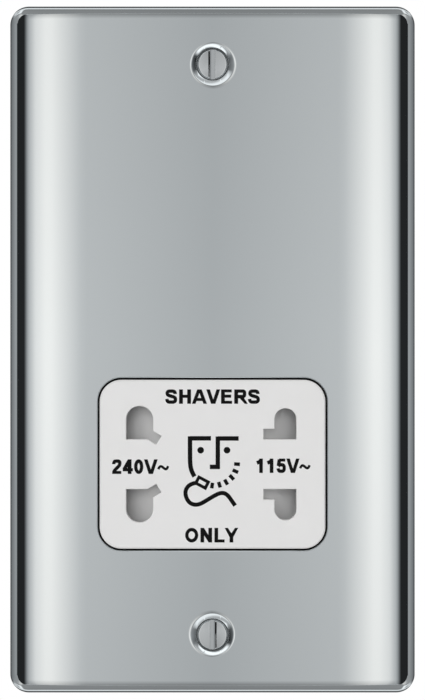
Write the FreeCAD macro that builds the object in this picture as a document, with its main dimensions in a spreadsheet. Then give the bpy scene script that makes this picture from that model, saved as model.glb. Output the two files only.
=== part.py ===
import FreeCAD, Part
import math
import os

import Sketcher
from FreeCAD import Placement, Vector

doc = FreeCAD.newDocument("shaver_socket")

# Driving dimensions in millimetres and degrees. A level is measured forward from the wall plane.
SIZES = (
    ("plate_width", 86.0, "two-gang plate across"),
    ("plate_height", 146.0, "two-gang plate up and down"),
    ("plate_corner", 4.0, "outer corner radius of the lip"),
    ("lip_width", 1.65, "flat lip round the crown"),
    ("lip_thickness", 1.4, "lip in front of the wall"),
    ("lip_edge", 0.6, "bevel of the lip's front edge"),
    ("crown_level", 6.7, "top of the crown"),
    ("crown_rise", 0.7, "rise of the crown over its nearly flat middle"),
    ("shoulder_width", 14.8, "sloping shoulder and edge at each side"),
    ("edge_width", 2.6, "steep edge beside the lip"),
    ("edge_height", 2.5, "drop of the steep edge"),
    ("end_round", 0.8, "rounding of the crown's top and bottom ends"),
    ("sheet_thickness", 1.0, "steel sheet"),
    ("tab_width", 6.0, "folded tab that holds the liner"),
    ("tab_reach", 4.4, "tab inwards from the plate's wall"),
    ("tab_spacing", 92.0, "tabs up and down"),
    ("screw_inset", 12.7, "fixing screw from the plate's end"),
    ("dish_radius", 5.3, "pressed dish round a fixing screw"),
    ("dish_depth", 1.9, "screw seat below the crown"),
    ("dish_round", 0.7, "rolled edge of the dish"),
    ("seat_radius", 3.55, "flat seat in the dish"),
    ("seat_hole_radius", 2.0, "hole in the seat"),
    ("head_radius", 3.1, "fixing screw head"),
    ("head_height", 1.3, "fixing screw head"),
    ("head_edge", 0.25, "bevel round a fixing screw head"),
    ("head_slot_width", 1.0, "screwdriver slot"),
    ("head_slot_depth", 0.7, "screwdriver slot"),
    ("neck_radius", 1.55, "plain neck of a fixing screw"),
    ("thread_radius", 1.75, "fixing screw thread"),
    ("thread_length", 20.5, "threaded part behind the liner"),
    ("liner_fit", 0.5, "liner to the plate's walls"),
    ("liner_corner", 2.0, "liner corner radius"),
    ("boss_width", 12.6, "square liner boss behind a dish"),
    ("boss_hole_radius", 2.6, "fixing screw clearance in the liner"),
    ("rib_width", 1.6, "liner stiffening rib"),
    ("rib_offset", 19.0, "rib from the centre line"),
    ("rib_bottom", 2.0, "lower end of the ribs"),
    ("rib_length", 50.0, "ribs up and down"),
    ("seat_gap", 0.1, "moulding to moulding"),
    ("face_centre", -24.2, "socket face height on the plate"),
    ("face_width", 48.4, "socket face"),
    ("face_height", 36.4, "socket face"),
    ("face_corner", 4.8, "socket face corner radius"),
    ("face_fit", 0.25, "socket face to the plate's opening"),
    ("face_proud", 0.25, "socket face in front of the crown"),
    ("face_edge", 0.4, "bevel of the face's rim"),
    ("flange_margin", 2.6, "hidden flange of the face"),
    ("flange_thickness", 1.6, "hidden flange of the face"),
    ("slot_inner", 5.26, "flat slot end from the middle of the face"),
    ("slot_240_offset", 15.4, "left slots from the middle"),
    ("slot_240_radius", 2.81, "left slots, half width"),
    ("slot_240_reach", 12.26, "outer end of the left slots"),
    ("slot_115_offset", 15.4, "right slots from the middle"),
    ("slot_115_radius", 2.28, "right slots, half width"),
    ("slot_115_reach", 11.79, "outer end of the right slots"),
    ("blade_tilt", 31.0, "slope of the left blade notch"),
    ("blade_length", 4.5, "left blade notch"),
    ("blade_width", 2.06, "left blade notch"),
    ("blade_right", 2.1, "left blade notch from its slot"),
    ("blade_up", 0.96, "left blade notch above the flat slot end"),
    ("notch_reach", 4.6, "right blade notch from its slot"),
    ("notch_height", 2.18, "right blade notch"),
    ("slide_gap", 0.3, "shutter to its guides"),
    ("slide_half", 18.8, "shutter, half width"),
    ("slide_height", 30.0, "shutter up and down"),
    ("slide_depth", 6.5, "shutter front to back"),
    ("slide_lip", 0.7, "thin outer edge of the shutter's slope"),
    ("slide_bar", 7.2, "full-depth bar across the shutter"),
    ("slide_travel", 8.2, "shutter travel each way"),
    ("spring_solid", 2.2, "closed length of a shutter spring"),
    ("spring_strip", 0.4, "shutter spring strip"),
    ("spring_swing", 2.2, "fold of a shutter spring from its middle"),
    ("spring_height", 5.0, "shutter spring, up and down"),
    ("carrier_wall", 1.6, "carrier side wall"),
    ("carrier_height", 36.6, "carrier up and down"),
    ("carrier_back_wall", 1.5, "carrier wall behind the wells"),
    ("well_depth", 11.0, "contact well"),
    ("well_width", 9.0, "contact well"),
    ("well_height", 9.0, "contact well"),
    ("well_offset", 8.6, "contact well from the middle of the face"),
    ("well_shift", 0.8, "contact well from its slot, towards the middle"),
    ("clip_sheet", 0.6, "contact strip"),
    ("clip_half", 3.3, "contact clip at its root, half width"),
    ("clip_pinch", 1.5, "half gap where the clip grips"),
    ("clip_pinch_depth", 6.4, "grip from the clip's root"),
    ("clip_flare", 2.5, "half gap at the clip's mouth"),
    ("clip_length", 9.2, "clip front to back"),
    ("clip_height", 7.0, "clip up and down"),
    ("tag_width", 2.4, "solder tag"),
    ("tag_height", 1.6, "solder tag"),
    ("tag_length", 3.4, "solder tag behind the carrier"),
    ("tag_fit", 0.15, "solder tag to its slit"),
    ("common_tag", -9.0, "tag of the common strip"),
    ("common_drop", 3.0, "common strip, up and down"),
    ("switch_gap", 0.05, "bridge to the switch strips"),
    ("switch_sheet", 0.8, "switch strip"),
    ("switch_width", 2.0, "switch strip, up and down"),
    ("switch_offset", 1.7, "switch strips from the middle"),
    ("switch_half", 13.0, "switch strips, half length"),
    ("switch_open", 5.0, "half gap in the load strip"),
    ("switch_leg", 3.0, "load strip's bar behind the tray floor"),
    ("load_tag", 21.5, "tag of the load strip"),
    ("bridge_width", 4.0, "bridge along the shutter's travel"),
    ("bridge_height", 5.6, "bridge across the strips"),
    ("bridge_sheet", 0.7, "bridge"),
    ("wiring_room", 6.0, "room behind the carrier"),
    ("housing_width", 68.0, "rear housing"),
    ("housing_height", 101.0, "rear housing"),
    ("housing_corner", 3.0, "rear housing corner radius"),
    ("housing_wall", 2.0, "rear housing"),
    ("housing_edge", 1.2, "bevel of the rear edges"),
    ("bay_bottom", -1.0, "lower end of the transformer bay"),
    ("post_width", 4.4, "supporting post"),
    ("post_height", 6.0, "supporting post"),
    ("ear_offset", 24.0, "housing ear from the centre line"),
    ("ear_reach", 3.8, "ear screw outside the housing"),
    ("ear_half", 3.2, "housing ear, half width"),
    ("ear_thickness", 2.4, "housing ear"),
    ("tapper_radius", 1.3, "housing screw shank"),
    ("tapper_fit", 0.1, "housing screw to its hole"),
    ("tapper_head", 2.6, "housing screw head radius"),
    ("tapper_head_height", 1.8, "housing screw head"),
    ("tapper_slot", 0.8, "housing screw slot, width and depth"),
    ("tapper_cap", 0.8, "liner left in front of a housing screw's hole"),
    ("vent_length", 36.0, "vent across the bay"),
    ("vent_width", 2.2, "vent"),
    ("vent_pitch", 6.4, "vents up and down"),
    ("vent_count", 6, "vents"),
    ("core_centre", 25.0, "transformer height on the plate"),
    ("core_width", 54.0, "lamination stack across"),
    ("core_height", 45.0, "lamination stack up and down"),
    ("core_stack", 20.0, "lamination stack front to back"),
    ("tongue_width", 18.0, "middle leg of the core"),
    ("window_width", 9.0, "core window"),
    ("window_height", 27.0, "core window"),
    ("coil_front_room", 3.0, "coil to the liner"),
    ("coil_back_room", 1.0, "coil to the housing"),
    ("coil_build", 8.4, "coil outside the stack"),
    ("bobbin_fit", 0.25, "bobbin to the core"),
    ("bobbin_wall", 1.0, "bobbin tube and cheeks"),
    ("winding_inset", 1.2, "winding below the bobbin's cheeks"),
    ("winding_corner", 5.0, "winding corner radius"),
    ("cutout_width", 18.0, "overload protector"),
    ("cutout_height", 7.0, "overload protector"),
    ("cutout_depth", 3.0, "overload protector"),
    ("terminal_pitch", 18.0, "terminals across"),
    ("terminal_centre", -44.0, "terminals' height on the plate"),
    ("terminal_width", 8.0, "terminal block"),
    ("terminal_height", 9.0, "terminal block"),
    ("terminal_depth", 8.4, "terminal block"),
    ("terminal_root", 0.5, "tag's root in a terminal block"),
    ("terminal_tag", 2.0, "terminal's tag above its middle"),
    ("terminal_bore", 2.1, "wire hole radius"),
    ("terminal_bore_level", 3.9, "wire hole from the housing"),
    ("clamp_radius", 1.6, "terminal screw shank"),
    ("clamp_fit", 0.1, "terminal screw to its hole"),
    ("clamp_head", 2.7, "terminal screw head radius"),
    ("clamp_head_height", 2.0, "terminal screw head"),
    ("clamp_slot", 0.9, "terminal screw slot, width and depth"),
    ("clamp_stand", 1.0, "open terminal screw head off its block"),
    ("barrier_width", 1.8, "wall between terminals"),
    ("barrier_height", 14.0, "wall between terminals, up and down"),
    ("barrier_depth", 9.6, "wall between terminals"),
    ("barrier_rise", 1.0, "wall's middle above the terminals' middle"),
    ("strap_width", 6.0, "earth strap"),
    ("strap_sheet", 0.8, "earth strap"),
    ("strap_drop", 3.6, "earth strap below the terminals' middle"),
    ("strap_foot", 4.2, "earth strap's foot on the plate"),
    ("lead_radius", 0.7, "insulated lead"),
    ("lead_gap", 0.3, "lead end to its tag"),
)

sheet = doc.addObject("Spreadsheet::Sheet", "dim")
for row, (alias, size, note) in enumerate(SIZES, start=1):
    sheet.set(f"A{row}", note)
    sheet.set(f"B{row}", str(size))
    sheet.setAlias(f"B{row}", alias)
doc.recompute()

# Places that several pieces share, as expressions over the sheet.
DOME_HALF_WIDTH = "(dim.plate_width / 2 - dim.lip_width)"
DOME_HALF_HEIGHT = "(dim.plate_height / 2 - dim.lip_width)"
CROWN_HALF = f"({DOME_HALF_WIDTH} - dim.shoulder_width)"
CROWN_INSIDE = "(dim.crown_level - dim.sheet_thickness)"
RIB_TOP = f"({CROWN_INSIDE} - dim.crown_rise - dim.seat_gap)"
SCREW_HEIGHT = "(dim.plate_height / 2 - dim.screw_inset)"
DISH_SEAT = "(dim.crown_level - dim.dish_depth)"
DISH_BACK = f"({DISH_SEAT} - dim.sheet_thickness)"
DISH_SLOPE = "((dim.dish_radius - dim.seat_radius) / dim.dish_depth)"
LINER_FRONT = "(dim.lip_thickness + dim.edge_height - dim.sheet_thickness)"
LINER_BACK = "dim.sheet_thickness"
FACE_FRONT = "(dim.crown_level + dim.face_proud)"
FLANGE_BACK = f"({RIB_TOP} - dim.flange_thickness)"
SLIDE_FRONT = f"({FLANGE_BACK} - dim.slide_gap)"
SLIDE_BACK = f"({SLIDE_FRONT} - dim.slide_depth)"
TRAY_FLOOR = f"({SLIDE_BACK} - dim.slide_gap)"
TRAY_HALF = "(dim.slide_half + dim.slide_travel + dim.spring_solid)"
CARRIER_WIDTH = f"(2 * ({TRAY_HALF} + dim.carrier_wall))"
WELL_FLOOR = f"({TRAY_FLOOR} - dim.well_depth)"
CARRIER_BACK = f"({WELL_FLOOR} - dim.carrier_back_wall)"
DECK_INSIDE = f"({CARRIER_BACK} - dim.wiring_room)"
DECK_BACK = f"({DECK_INSIDE} - dim.housing_wall)"
COIL_FRONT = f"({LINER_BACK} - dim.coil_front_room)"
CORE_FRONT = f"({COIL_FRONT} - dim.coil_build)"
CORE_BACK = f"({CORE_FRONT} - dim.core_stack)"
BAY_FLOOR = f"({CORE_BACK} - dim.coil_build - dim.coil_back_room)"
BAY_BACK = f"({BAY_FLOOR} - dim.housing_wall)"
CORE_MIDDLE = f"(({CORE_FRONT} + {CORE_BACK}) / 2)"
EAR_HEIGHT = "(dim.housing_height / 2 + dim.ear_reach)"
POST_SIDE = "(dim.core_width / 2 - dim.post_width / 2)"
POST_RISE = "(dim.core_height / 2 - dim.post_height / 2)"
TAG_END = f"({CARRIER_BACK} - dim.tag_length)"
BORE_LEVEL = f"({DECK_BACK} - dim.terminal_bore_level)"
TERMINAL_BACK = f"({DECK_BACK} - dim.terminal_depth)"
PAST = "1"
SIDES = (1, -1)


def value(expression):
    """Present value of an expression over the sheet."""
    return float(sheet.evalExpression(expression))


def new_body(label):
    body = doc.addObject("PartDesign::Body", label)
    body.Label = label
    body.AllowCompound = True
    return body


def new_sketch(body, plane, right="0", up="0", level="0", tilt=None):
    """Sketch parallel to one of the body's origin planes, moved within it and off it."""
    sketch = body.newObject("Sketcher::SketchObject", body.Label + "_sketch")
    support = next(f for f in body.Origin.OriginFeatures if f.Role == plane + "_Plane")
    sketch.AttachmentSupport = (support, "")
    sketch.MapMode = "FlatFace"
    for axis, expression in zip("xyz", (right, up, level)):
        sketch.setExpression(f".AttachmentOffset.Base.{axis}", expression)
    if tilt:
        sketch.setExpression(".AttachmentOffset.Rotation.Angle", tilt)
    return sketch


def constrain(sketch, *facts, to=None):
    """Add one constraint, held to an expression where it has a size."""
    numbers = facts if to is None else facts + (value(to),)
    index = sketch.addConstraint(Sketcher.Constraint(*numbers))
    if to is not None:
        sketch.setExpression(f"Constraints[{index}]", to)


def draw_outline(sketch, points):
    """Closed straight-sided outline whose corners are pairs of expressions."""
    first = sketch.GeometryCount
    places = [Vector(value(x), value(y), 0) for x, y in points]
    count = len(points)
    for i in range(count):
        sketch.addGeometry(Part.LineSegment(places[i], places[(i + 1) % count]))
    for i, (x, y) in enumerate(points):
        line, after = first + i, first + (i + 1) % count
        constrain(sketch, "Coincident", line, 2, after, 1)
        constrain(sketch, "DistanceX", -1, 1, line, 1, to=x)
        constrain(sketch, "DistanceY", -1, 1, line, 1, to=y)


def draw_box(sketch, width, height):
    draw_outline(sketch, [
        (f"-({width}) / 2", f"-({height}) / 2"), (f"({width}) / 2", f"-({height}) / 2"),
        (f"({width}) / 2", f"({height}) / 2"), (f"-({width}) / 2", f"({height}) / 2"),
    ])


def draw_rounded_box(sketch, width, height, corner):
    """Rectangle with four equal round corners, centred on the sketch."""
    first = sketch.GeometryCount
    w, h, r = value(width) / 2, value(height) / 2, value(corner)
    lines = (
        ((-w + r, -h), (w - r, -h)), ((w, -h + r), (w, h - r)),
        ((w - r, h), (-w + r, h)), ((-w, h - r), (-w, -h + r)),
    )
    for start, end in lines:
        sketch.addGeometry(Part.LineSegment(Vector(*start, 0), Vector(*end, 0)))
    for quarter, (x, y) in enumerate(((w - r, r - h), (w - r, h - r), (r - w, h - r), (r - w, r - h))):
        circle = Part.Circle(Vector(x, y, 0), Vector(0, 0, 1), r)
        start = (quarter - 1) * math.pi / 2
        sketch.addGeometry(Part.ArcOfCircle(circle, start, start + math.pi / 2))
    for i in range(4):
        line, arc, after = first + i, first + 4 + i, first + (i + 1) % 4
        constrain(sketch, "Tangent", line, 2, arc, 1)
        constrain(sketch, "Tangent", arc, 2, after, 1)
        if i:
            constrain(sketch, "Equal", first + 4, arc)
    constrain(sketch, "Horizontal", first + 2)
    constrain(sketch, "Vertical", first + 3)
    constrain(sketch, "Symmetric", first, 1, first, 2, -2)
    constrain(sketch, "Symmetric", first + 1, 1, first + 1, 2, -1)
    constrain(sketch, "Radius", first + 4, to=corner)
    constrain(sketch, "DistanceX", first + 3, 1, first + 1, 1, to=width)
    constrain(sketch, "DistanceY", first, 1, first + 2, 1, to=height)


def draw_circle(sketch, radius):
    index = sketch.addGeometry(Part.Circle(Vector(), Vector(0, 0, 1), value(radius)))
    constrain(sketch, "Coincident", index, 3, -1, 1)
    constrain(sketch, "Radius", index, to=radius)


def draw_bullet(sketch, radius, length):
    """Half-round end centred on the sketch, with straight sides down to a flat end."""
    r, d = value(radius), value(length)
    circle = Part.Circle(Vector(), Vector(0, 0, 1), r)
    sketch.addGeometry(Part.ArcOfCircle(circle, 0, math.pi))
    corners = [Vector(-r, 0, 0), Vector(-r, -d, 0), Vector(r, -d, 0), Vector(r, 0, 0)]
    for start, end in zip(corners, corners[1:]):
        sketch.addGeometry(Part.LineSegment(start, end))
    constrain(sketch, "Coincident", 0, 3, -1, 1)
    constrain(sketch, "Radius", 0, to=radius)
    constrain(sketch, "Tangent", 0, 2, 1, 1)
    constrain(sketch, "Coincident", 1, 2, 2, 1)
    constrain(sketch, "Coincident", 2, 2, 3, 1)
    constrain(sketch, "Tangent", 3, 2, 0, 1)
    constrain(sketch, "Vertical", 1)
    constrain(sketch, "Vertical", 3)
    constrain(sketch, "Horizontal", 2)
    constrain(sketch, "DistanceY", 2, 1, -1, 1, to=length)


def extrude(body, sketch, length, cut=False):
    """Pad or pocket that runs back from the sketch, against its normal."""
    kind = "Pocket" if cut else "Pad"
    feature = body.newObject("PartDesign::" + kind, f"{body.Label}_{kind.lower()}")
    feature.Profile = sketch
    feature.setExpression("Length", length)
    feature.Reversed = not cut
    return feature


def box(body, width, height, front, back, right="0", up="0", corner=None, cut=False):
    """Slab or pocket between two levels, facing the front."""
    sketch = new_sketch(body, "XZ", right, up, front)
    if corner:
        draw_rounded_box(sketch, width, height, corner)
    else:
        draw_box(sketch, width, height)
    return extrude(body, sketch, f"({front}) - ({back})", cut)


def disc(body, radius, front, back, right="0", up="0", cut=False):
    """Round boss or hole between two levels, facing the front."""
    sketch = new_sketch(body, "XZ", right, up, front)
    draw_circle(sketch, radius)
    return extrude(body, sketch, f"({front}) - ({back})", cut)


def turned(body, points, right="0", up="0", cut=False):
    """Round piece or recess about a front-to-back axis, from pairs of level and radius."""
    sketch = new_sketch(body, "YZ", "0", up, right)
    draw_outline(sketch, [(f"-({level})", radius) for level, radius in points])
    kind = "Groove" if cut else "Revolution"
    feature = body.newObject("PartDesign::" + kind, f"{body.Label}_{kind.lower()}")
    feature.Profile = sketch
    feature.ReferenceAxis = (sketch, ["H_Axis"])
    feature.Angle = 360
    return feature


def dress_edges(body, kind, size, test):
    """Fillet or chamfer on the edges of the present solid that pass the test."""
    doc.recompute()
    base = body.Tip
    names = [f"Edge{i}" for i, edge in enumerate(base.Shape.Edges, start=1) if test(edge)]
    feature = body.newObject("PartDesign::" + kind, f"{body.Label}_{kind.lower()}")
    feature.Base = (base, names)
    feature.setExpression("Radius" if kind == "Fillet" else "Size", size)


def round_edges(body, radius, test):
    dress_edges(body, "Fillet", radius, test)


def bevel_edges(body, size, test):
    dress_edges(body, "Chamfer", size, test)


def lies_at(edge, level):
    """Whether an edge lies wholly at one level."""
    bounds = edge.BoundBox
    return max(abs(bounds.YMin + level), abs(bounds.YMax + level)) < 1e-4


# Front plate: chromed steel sheet pressed to a crown, with a lip, two dishes and the face's opening.
front_plate = new_body("front_plate")
arch = new_sketch(front_plate, "XY", "0", "0", DOME_HALF_HEIGHT)
foot_x, foot_y = DOME_HALF_WIDTH, "-dim.lip_thickness"
edge_x, edge_y = f"({DOME_HALF_WIDTH} - dim.edge_width)", "-(dim.lip_thickness + dim.edge_height)"
crown_x, crown_y = CROWN_HALF, "-(dim.crown_level - dim.crown_rise)"
crown_radius = f"({CROWN_HALF}^2 + dim.crown_rise^2) / (2 * dim.crown_rise)"


def bulged(start, end, share):
    """Arc between two points that bulges forward by a share of its chord, to start the solver."""
    chord = end - start
    middle = (start + end) / 2 + Vector(chord.y, -chord.x, 0) * share
    return Part.Arc(start, middle, end)


foot = Vector(value(foot_x), value(foot_y), 0)
edge = Vector(value(edge_x), value(edge_y), 0)
crown = Vector(value(crown_x), value(crown_y), 0)
mirror_x = [Vector(-p.x, p.y, 0) for p in (foot, edge, crown)]
arch.addGeometry(Part.LineSegment(Vector(-foot.x, 0, 0), Vector(foot.x, 0, 0)))
arch.addGeometry(Part.LineSegment(Vector(foot.x, 0, 0), foot))
arch.addGeometry(bulged(edge, foot, 0.22))
arch.addGeometry(bulged(crown, edge, 0.06))
arch.addGeometry(bulged(mirror_x[2], crown, 0.013))
arch.addGeometry(bulged(mirror_x[1], mirror_x[2], 0.06))
arch.addGeometry(bulged(mirror_x[0], mirror_x[1], 0.22))
arch.addGeometry(Part.LineSegment(mirror_x[0], Vector(-foot.x, 0, 0)))
constrain(arch, "Coincident", 0, 2, 1, 1)
constrain(arch, "Coincident", 1, 2, 2, 2)
constrain(arch, "Tangent", 2, 1, 3, 2)
constrain(arch, "Tangent", 3, 1, 4, 2)
constrain(arch, "Tangent", 4, 1, 5, 2)
constrain(arch, "Tangent", 5, 1, 6, 2)
constrain(arch, "Coincident", 6, 1, 7, 1)
constrain(arch, "Coincident", 7, 2, 0, 1)
for line, end, x, y in (
    (0, 2, foot_x, "0"), (0, 1, "-" + foot_x, "0"),
    (2, 2, foot_x, foot_y), (6, 1, "-" + foot_x, foot_y),
    (2, 1, edge_x, edge_y), (5, 1, "-" + edge_x, edge_y),
    (4, 2, crown_x, crown_y), (4, 1, "-" + crown_x, crown_y),
):
    constrain(arch, "DistanceX", -1, 1, line, end, to=x)
    constrain(arch, "DistanceY", -1, 1, line, end, to=y)
constrain(arch, "Radius", 4, to=crown_radius)
dome = extrude(front_plate, arch, f"2 * {DOME_HALF_HEIGHT}")
doc.recompute()
back_face = next(
    f"Face{i}" for i, face in enumerate(dome.Shape.Faces, start=1)
    if abs(face.BoundBox.YMin) < 1e-6 and abs(face.BoundBox.YMax) < 1e-6
)
shell = front_plate.newObject("PartDesign::Thickness", "front_plate_shell")
shell.Base = (dome, [back_face])
shell.setExpression("Value", "dim.sheet_thickness")
shell.Reversed = True
shell.Join = "Intersection"
dome_end = value(DOME_HALF_HEIGHT)
round_edges(front_plate, "dim.end_round", lambda e: (
    min(abs(e.BoundBox.ZMin - z) + abs(e.BoundBox.ZMax - z) for z in (dome_end, -dome_end)) < 1e-4
    and e.BoundBox.YMax < -value("dim.lip_thickness") + 1e-4
    and e.BoundBox.YMin < -value("dim.lip_thickness") - 1e-3
))
lip = new_sketch(front_plate, "XZ", level="dim.lip_thickness")
draw_rounded_box(lip, "dim.plate_width", "dim.plate_height", "dim.plate_corner")
draw_box(lip, f"2 * ({DOME_HALF_WIDTH} - dim.sheet_thickness)",
         f"2 * ({DOME_HALF_HEIGHT} - dim.sheet_thickness)")
extrude(front_plate, lip, "dim.lip_thickness")
bevel_edges(front_plate, "dim.lip_edge", lambda e: lies_at(e, value("dim.lip_thickness")) and (
    max(abs(e.BoundBox.XMin), abs(e.BoundBox.XMax)) > value("dim.plate_width / 2 - dim.lip_width / 2")
    or max(abs(e.BoundBox.ZMin), abs(e.BoundBox.ZMax)) > value("dim.plate_height / 2 - dim.lip_width / 2")
))
for side in SIDES:
    for end in SIDES:
        box(front_plate, "dim.tab_reach + dim.sheet_thickness", "dim.tab_width", LINER_BACK, "0",
            right=f"{side} * ({DOME_HALF_WIDTH} - (dim.tab_reach + dim.sheet_thickness) / 2)",
            up=f"{end} * dim.tab_spacing / 2")
for end in SIDES:
    height = f"{end} * {SCREW_HEIGHT}"
    turned(front_plate, [
        (DISH_BACK, "0"), (DISH_BACK, "dim.seat_radius + dim.sheet_thickness / 2"),
        (f"{CROWN_INSIDE} - dim.seat_gap", "dim.dish_radius + dim.sheet_thickness"),
        (f"{CROWN_INSIDE} + dim.sheet_thickness / 2", "dim.dish_radius + dim.sheet_thickness"),
        (f"{CROWN_INSIDE} + dim.sheet_thickness / 2", "0"),
    ], up=height)
    turned(front_plate, [
        (DISH_SEAT, "0"), (DISH_SEAT, "dim.seat_radius"),
        (f"dim.crown_level + {PAST}", f"dim.dish_radius + {PAST} * {DISH_SLOPE}"),
        (f"dim.crown_level + {PAST}", "0"),
    ], up=height, cut=True)
    disc(front_plate, "dim.seat_hole_radius", DISH_SEAT, f"{DISH_BACK} - {PAST}", up=height, cut=True)
    dish_z = value(height)
    round_edges(front_plate, "dim.dish_round", lambda e: (
        abs(e.BoundBox.Center.z - dish_z) < 0.01 and abs(e.BoundBox.Center.x) < 0.01
        and abs(e.BoundBox.XLength - value("2 * dim.dish_radius")) < 0.2
        and e.BoundBox.YMax < -value(CROWN_INSIDE)
    ))
opening = "2 * dim.face_fit"
box(front_plate, f"dim.face_width + {opening}", f"dim.face_height + {opening}", f"dim.crown_level + {PAST}",
    RIB_TOP + " - dim.crown_rise", up="dim.face_centre", corner="dim.face_corner + dim.face_fit", cut=True)

# Plate liner: moulded back of the plate, with screw bosses, ribs under the crown and posts for the core.
plate_liner = new_body("plate_liner")
box(plate_liner, f"2 * ({DOME_HALF_WIDTH} - dim.edge_width - dim.liner_fit)",
    f"2 * ({DOME_HALF_HEIGHT} - dim.sheet_thickness - dim.liner_fit)", LINER_FRONT, LINER_BACK,
    corner="dim.liner_corner")
for side in SIDES:
    box(plate_liner, "dim.rib_width", "dim.rib_length", RIB_TOP, LINER_BACK,
        right=f"{side} * dim.rib_offset", up="dim.rib_bottom + dim.rib_length / 2")
    for end in SIDES:
        box(plate_liner, "dim.post_width", "dim.post_height", LINER_FRONT, f"{CORE_FRONT} + dim.seat_gap",
            right=f"{side} * {POST_SIDE}", up=f"dim.core_centre + {end} * {POST_RISE}")
for end in SIDES:
    ear_x, ear_z = f"{end} * dim.ear_offset", f"{end} * {EAR_HEIGHT}"
    box(plate_liner, "2 * dim.ear_half", "2 * dim.ear_half", RIB_TOP, LINER_BACK, right=ear_x, up=ear_z)
    disc(plate_liner, "dim.tapper_radius + dim.tapper_fit", f"{RIB_TOP} - dim.tapper_cap",
         f"{LINER_BACK} - {PAST}", right=ear_x, up=ear_z, cut=True)
    box(plate_liner, "dim.boss_width", "dim.boss_width", DISH_BACK, LINER_BACK,
        up=f"{end} * {SCREW_HEIGHT}")
    disc(plate_liner, "dim.boss_hole_radius", f"{DISH_BACK} + {PAST}", f"{LINER_BACK} - {PAST}",
         up=f"{end} * {SCREW_HEIGHT}", cut=True)
box(plate_liner, f"{CARRIER_WIDTH} + 2 * dim.seat_gap", "dim.carrier_height + 2 * dim.seat_gap",
    f"{LINER_FRONT} + {PAST}", f"{LINER_BACK} - {PAST}", up="dim.face_centre", cut=True)
STRAP_HEIGHT = "(dim.terminal_centre - dim.strap_drop)"
box(plate_liner, "dim.strap_width + 2 * dim.liner_fit", "dim.strap_sheet + 2 * dim.liner_fit",
    f"{LINER_FRONT} + {PAST}", f"{LINER_BACK} - {PAST}", right="dim.terminal_pitch", up=STRAP_HEIGHT,
    cut=True)

# Socket face: white moulding with a hidden flange and two pairs of plug slots.
socket_face = new_body("socket_face")
box(socket_face, "dim.face_width", "dim.face_height", FACE_FRONT, FLANGE_BACK,
    up="dim.face_centre", corner="dim.face_corner")
bevel_edges(socket_face, "dim.face_edge", lambda e: lies_at(e, value(FACE_FRONT)))
box(socket_face, "dim.face_width + 2 * dim.flange_margin", "dim.face_height + 2 * dim.flange_margin",
    RIB_TOP, FLANGE_BACK, up="dim.face_centre")
slot_depth = f"{FACE_FRONT} - {FLANGE_BACK} + 2 * {PAST}"
slot_level = f"{FACE_FRONT} + {PAST}"
for end in SIDES:
    for side, slot in ((-1, "slot_240"), (1, "slot_115")):
        bullet = new_sketch(
            socket_face, "XZ", f"{side} * dim.{slot}_offset",
            f"dim.face_centre + {end} * (dim.{slot}_reach - dim.{slot}_radius)", slot_level,
            tilt="0" if end > 0 else "180",
        )
        draw_bullet(bullet, f"dim.{slot}_radius", f"dim.{slot}_reach - dim.{slot}_radius - dim.slot_inner")
        extrude(socket_face, bullet, slot_depth, cut=True)
    blade = new_sketch(
        socket_face, "XZ", "-dim.slot_240_offset + dim.blade_right",
        f"dim.face_centre + {end} * (dim.slot_inner + dim.blade_up)", slot_level,
        tilt=f"{-end} * dim.blade_tilt",
    )
    draw_box(blade, "dim.blade_length", "dim.blade_width")
    extrude(socket_face, blade, slot_depth, cut=True)
    box(socket_face, "dim.notch_reach", "dim.notch_height", slot_level, f"{FLANGE_BACK} - {PAST}",
        right="dim.slot_115_offset - dim.notch_reach / 2",
        up=f"dim.face_centre + {end} * (dim.slot_inner + dim.notch_height / 2)", cut=True)

# Fixing screws: slotted heads in the dishes, plain necks through the liner, threads behind it.
fixing_screws = new_body("fixing_screws")
head_top = f"({DISH_SEAT} + dim.head_height)"
thread_front = f"({LINER_BACK} - dim.seat_gap)"
thread_tip = f"({thread_front} - dim.thread_length)"
for end in SIDES:
    height = f"{end} * {SCREW_HEIGHT}"
    turned(fixing_screws, [
        (head_top, "0"), (head_top, "dim.head_radius - dim.head_edge"),
        (f"{head_top} - dim.head_edge", "dim.head_radius"), (DISH_SEAT, "dim.head_radius"),
        (DISH_SEAT, "dim.neck_radius"), (thread_front, "dim.neck_radius"),
        (thread_front, "dim.thread_radius"), (thread_tip, "dim.thread_radius"), (thread_tip, "0"),
    ], up=height)
    box(fixing_screws, "dim.head_slot_width", f"2 * (dim.head_radius + {PAST})", f"{head_top} + {PAST}",
        f"{head_top} - dim.head_slot_depth", up=height, cut=True)

# Shutter: one sloped slide over all four slots, with a full bar between its springs.
shutter_slide = new_body("shutter_slide")
slope = new_sketch(shutter_slide, "XY", level="dim.face_centre + dim.slide_height / 2")
ridge = "(dim.slide_half - dim.slide_travel)"
draw_outline(slope, [
    ("-dim.slide_half", f"-{SLIDE_BACK}"), ("-dim.slide_half", f"-({SLIDE_BACK} + dim.slide_lip)"),
    (f"-{ridge}", f"-{SLIDE_FRONT}"), (ridge, f"-{SLIDE_FRONT}"),
    ("dim.slide_half", f"-({SLIDE_BACK} + dim.slide_lip)"), ("dim.slide_half", f"-{SLIDE_BACK}"),
])
extrude(shutter_slide, slope, "dim.slide_height")
box(shutter_slide, "2 * dim.slide_half", "dim.slide_bar", SLIDE_FRONT, SLIDE_BACK, up="dim.face_centre")
bridge_seat = f"({TRAY_FLOOR} + dim.switch_gap + dim.bridge_sheet)"
box(shutter_slide, "dim.bridge_width + 2 * dim.tag_fit", "dim.bridge_height + 2 * dim.tag_fit", bridge_seat,
    f"{SLIDE_BACK} - {PAST}", up="dim.face_centre", cut=True)

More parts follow.
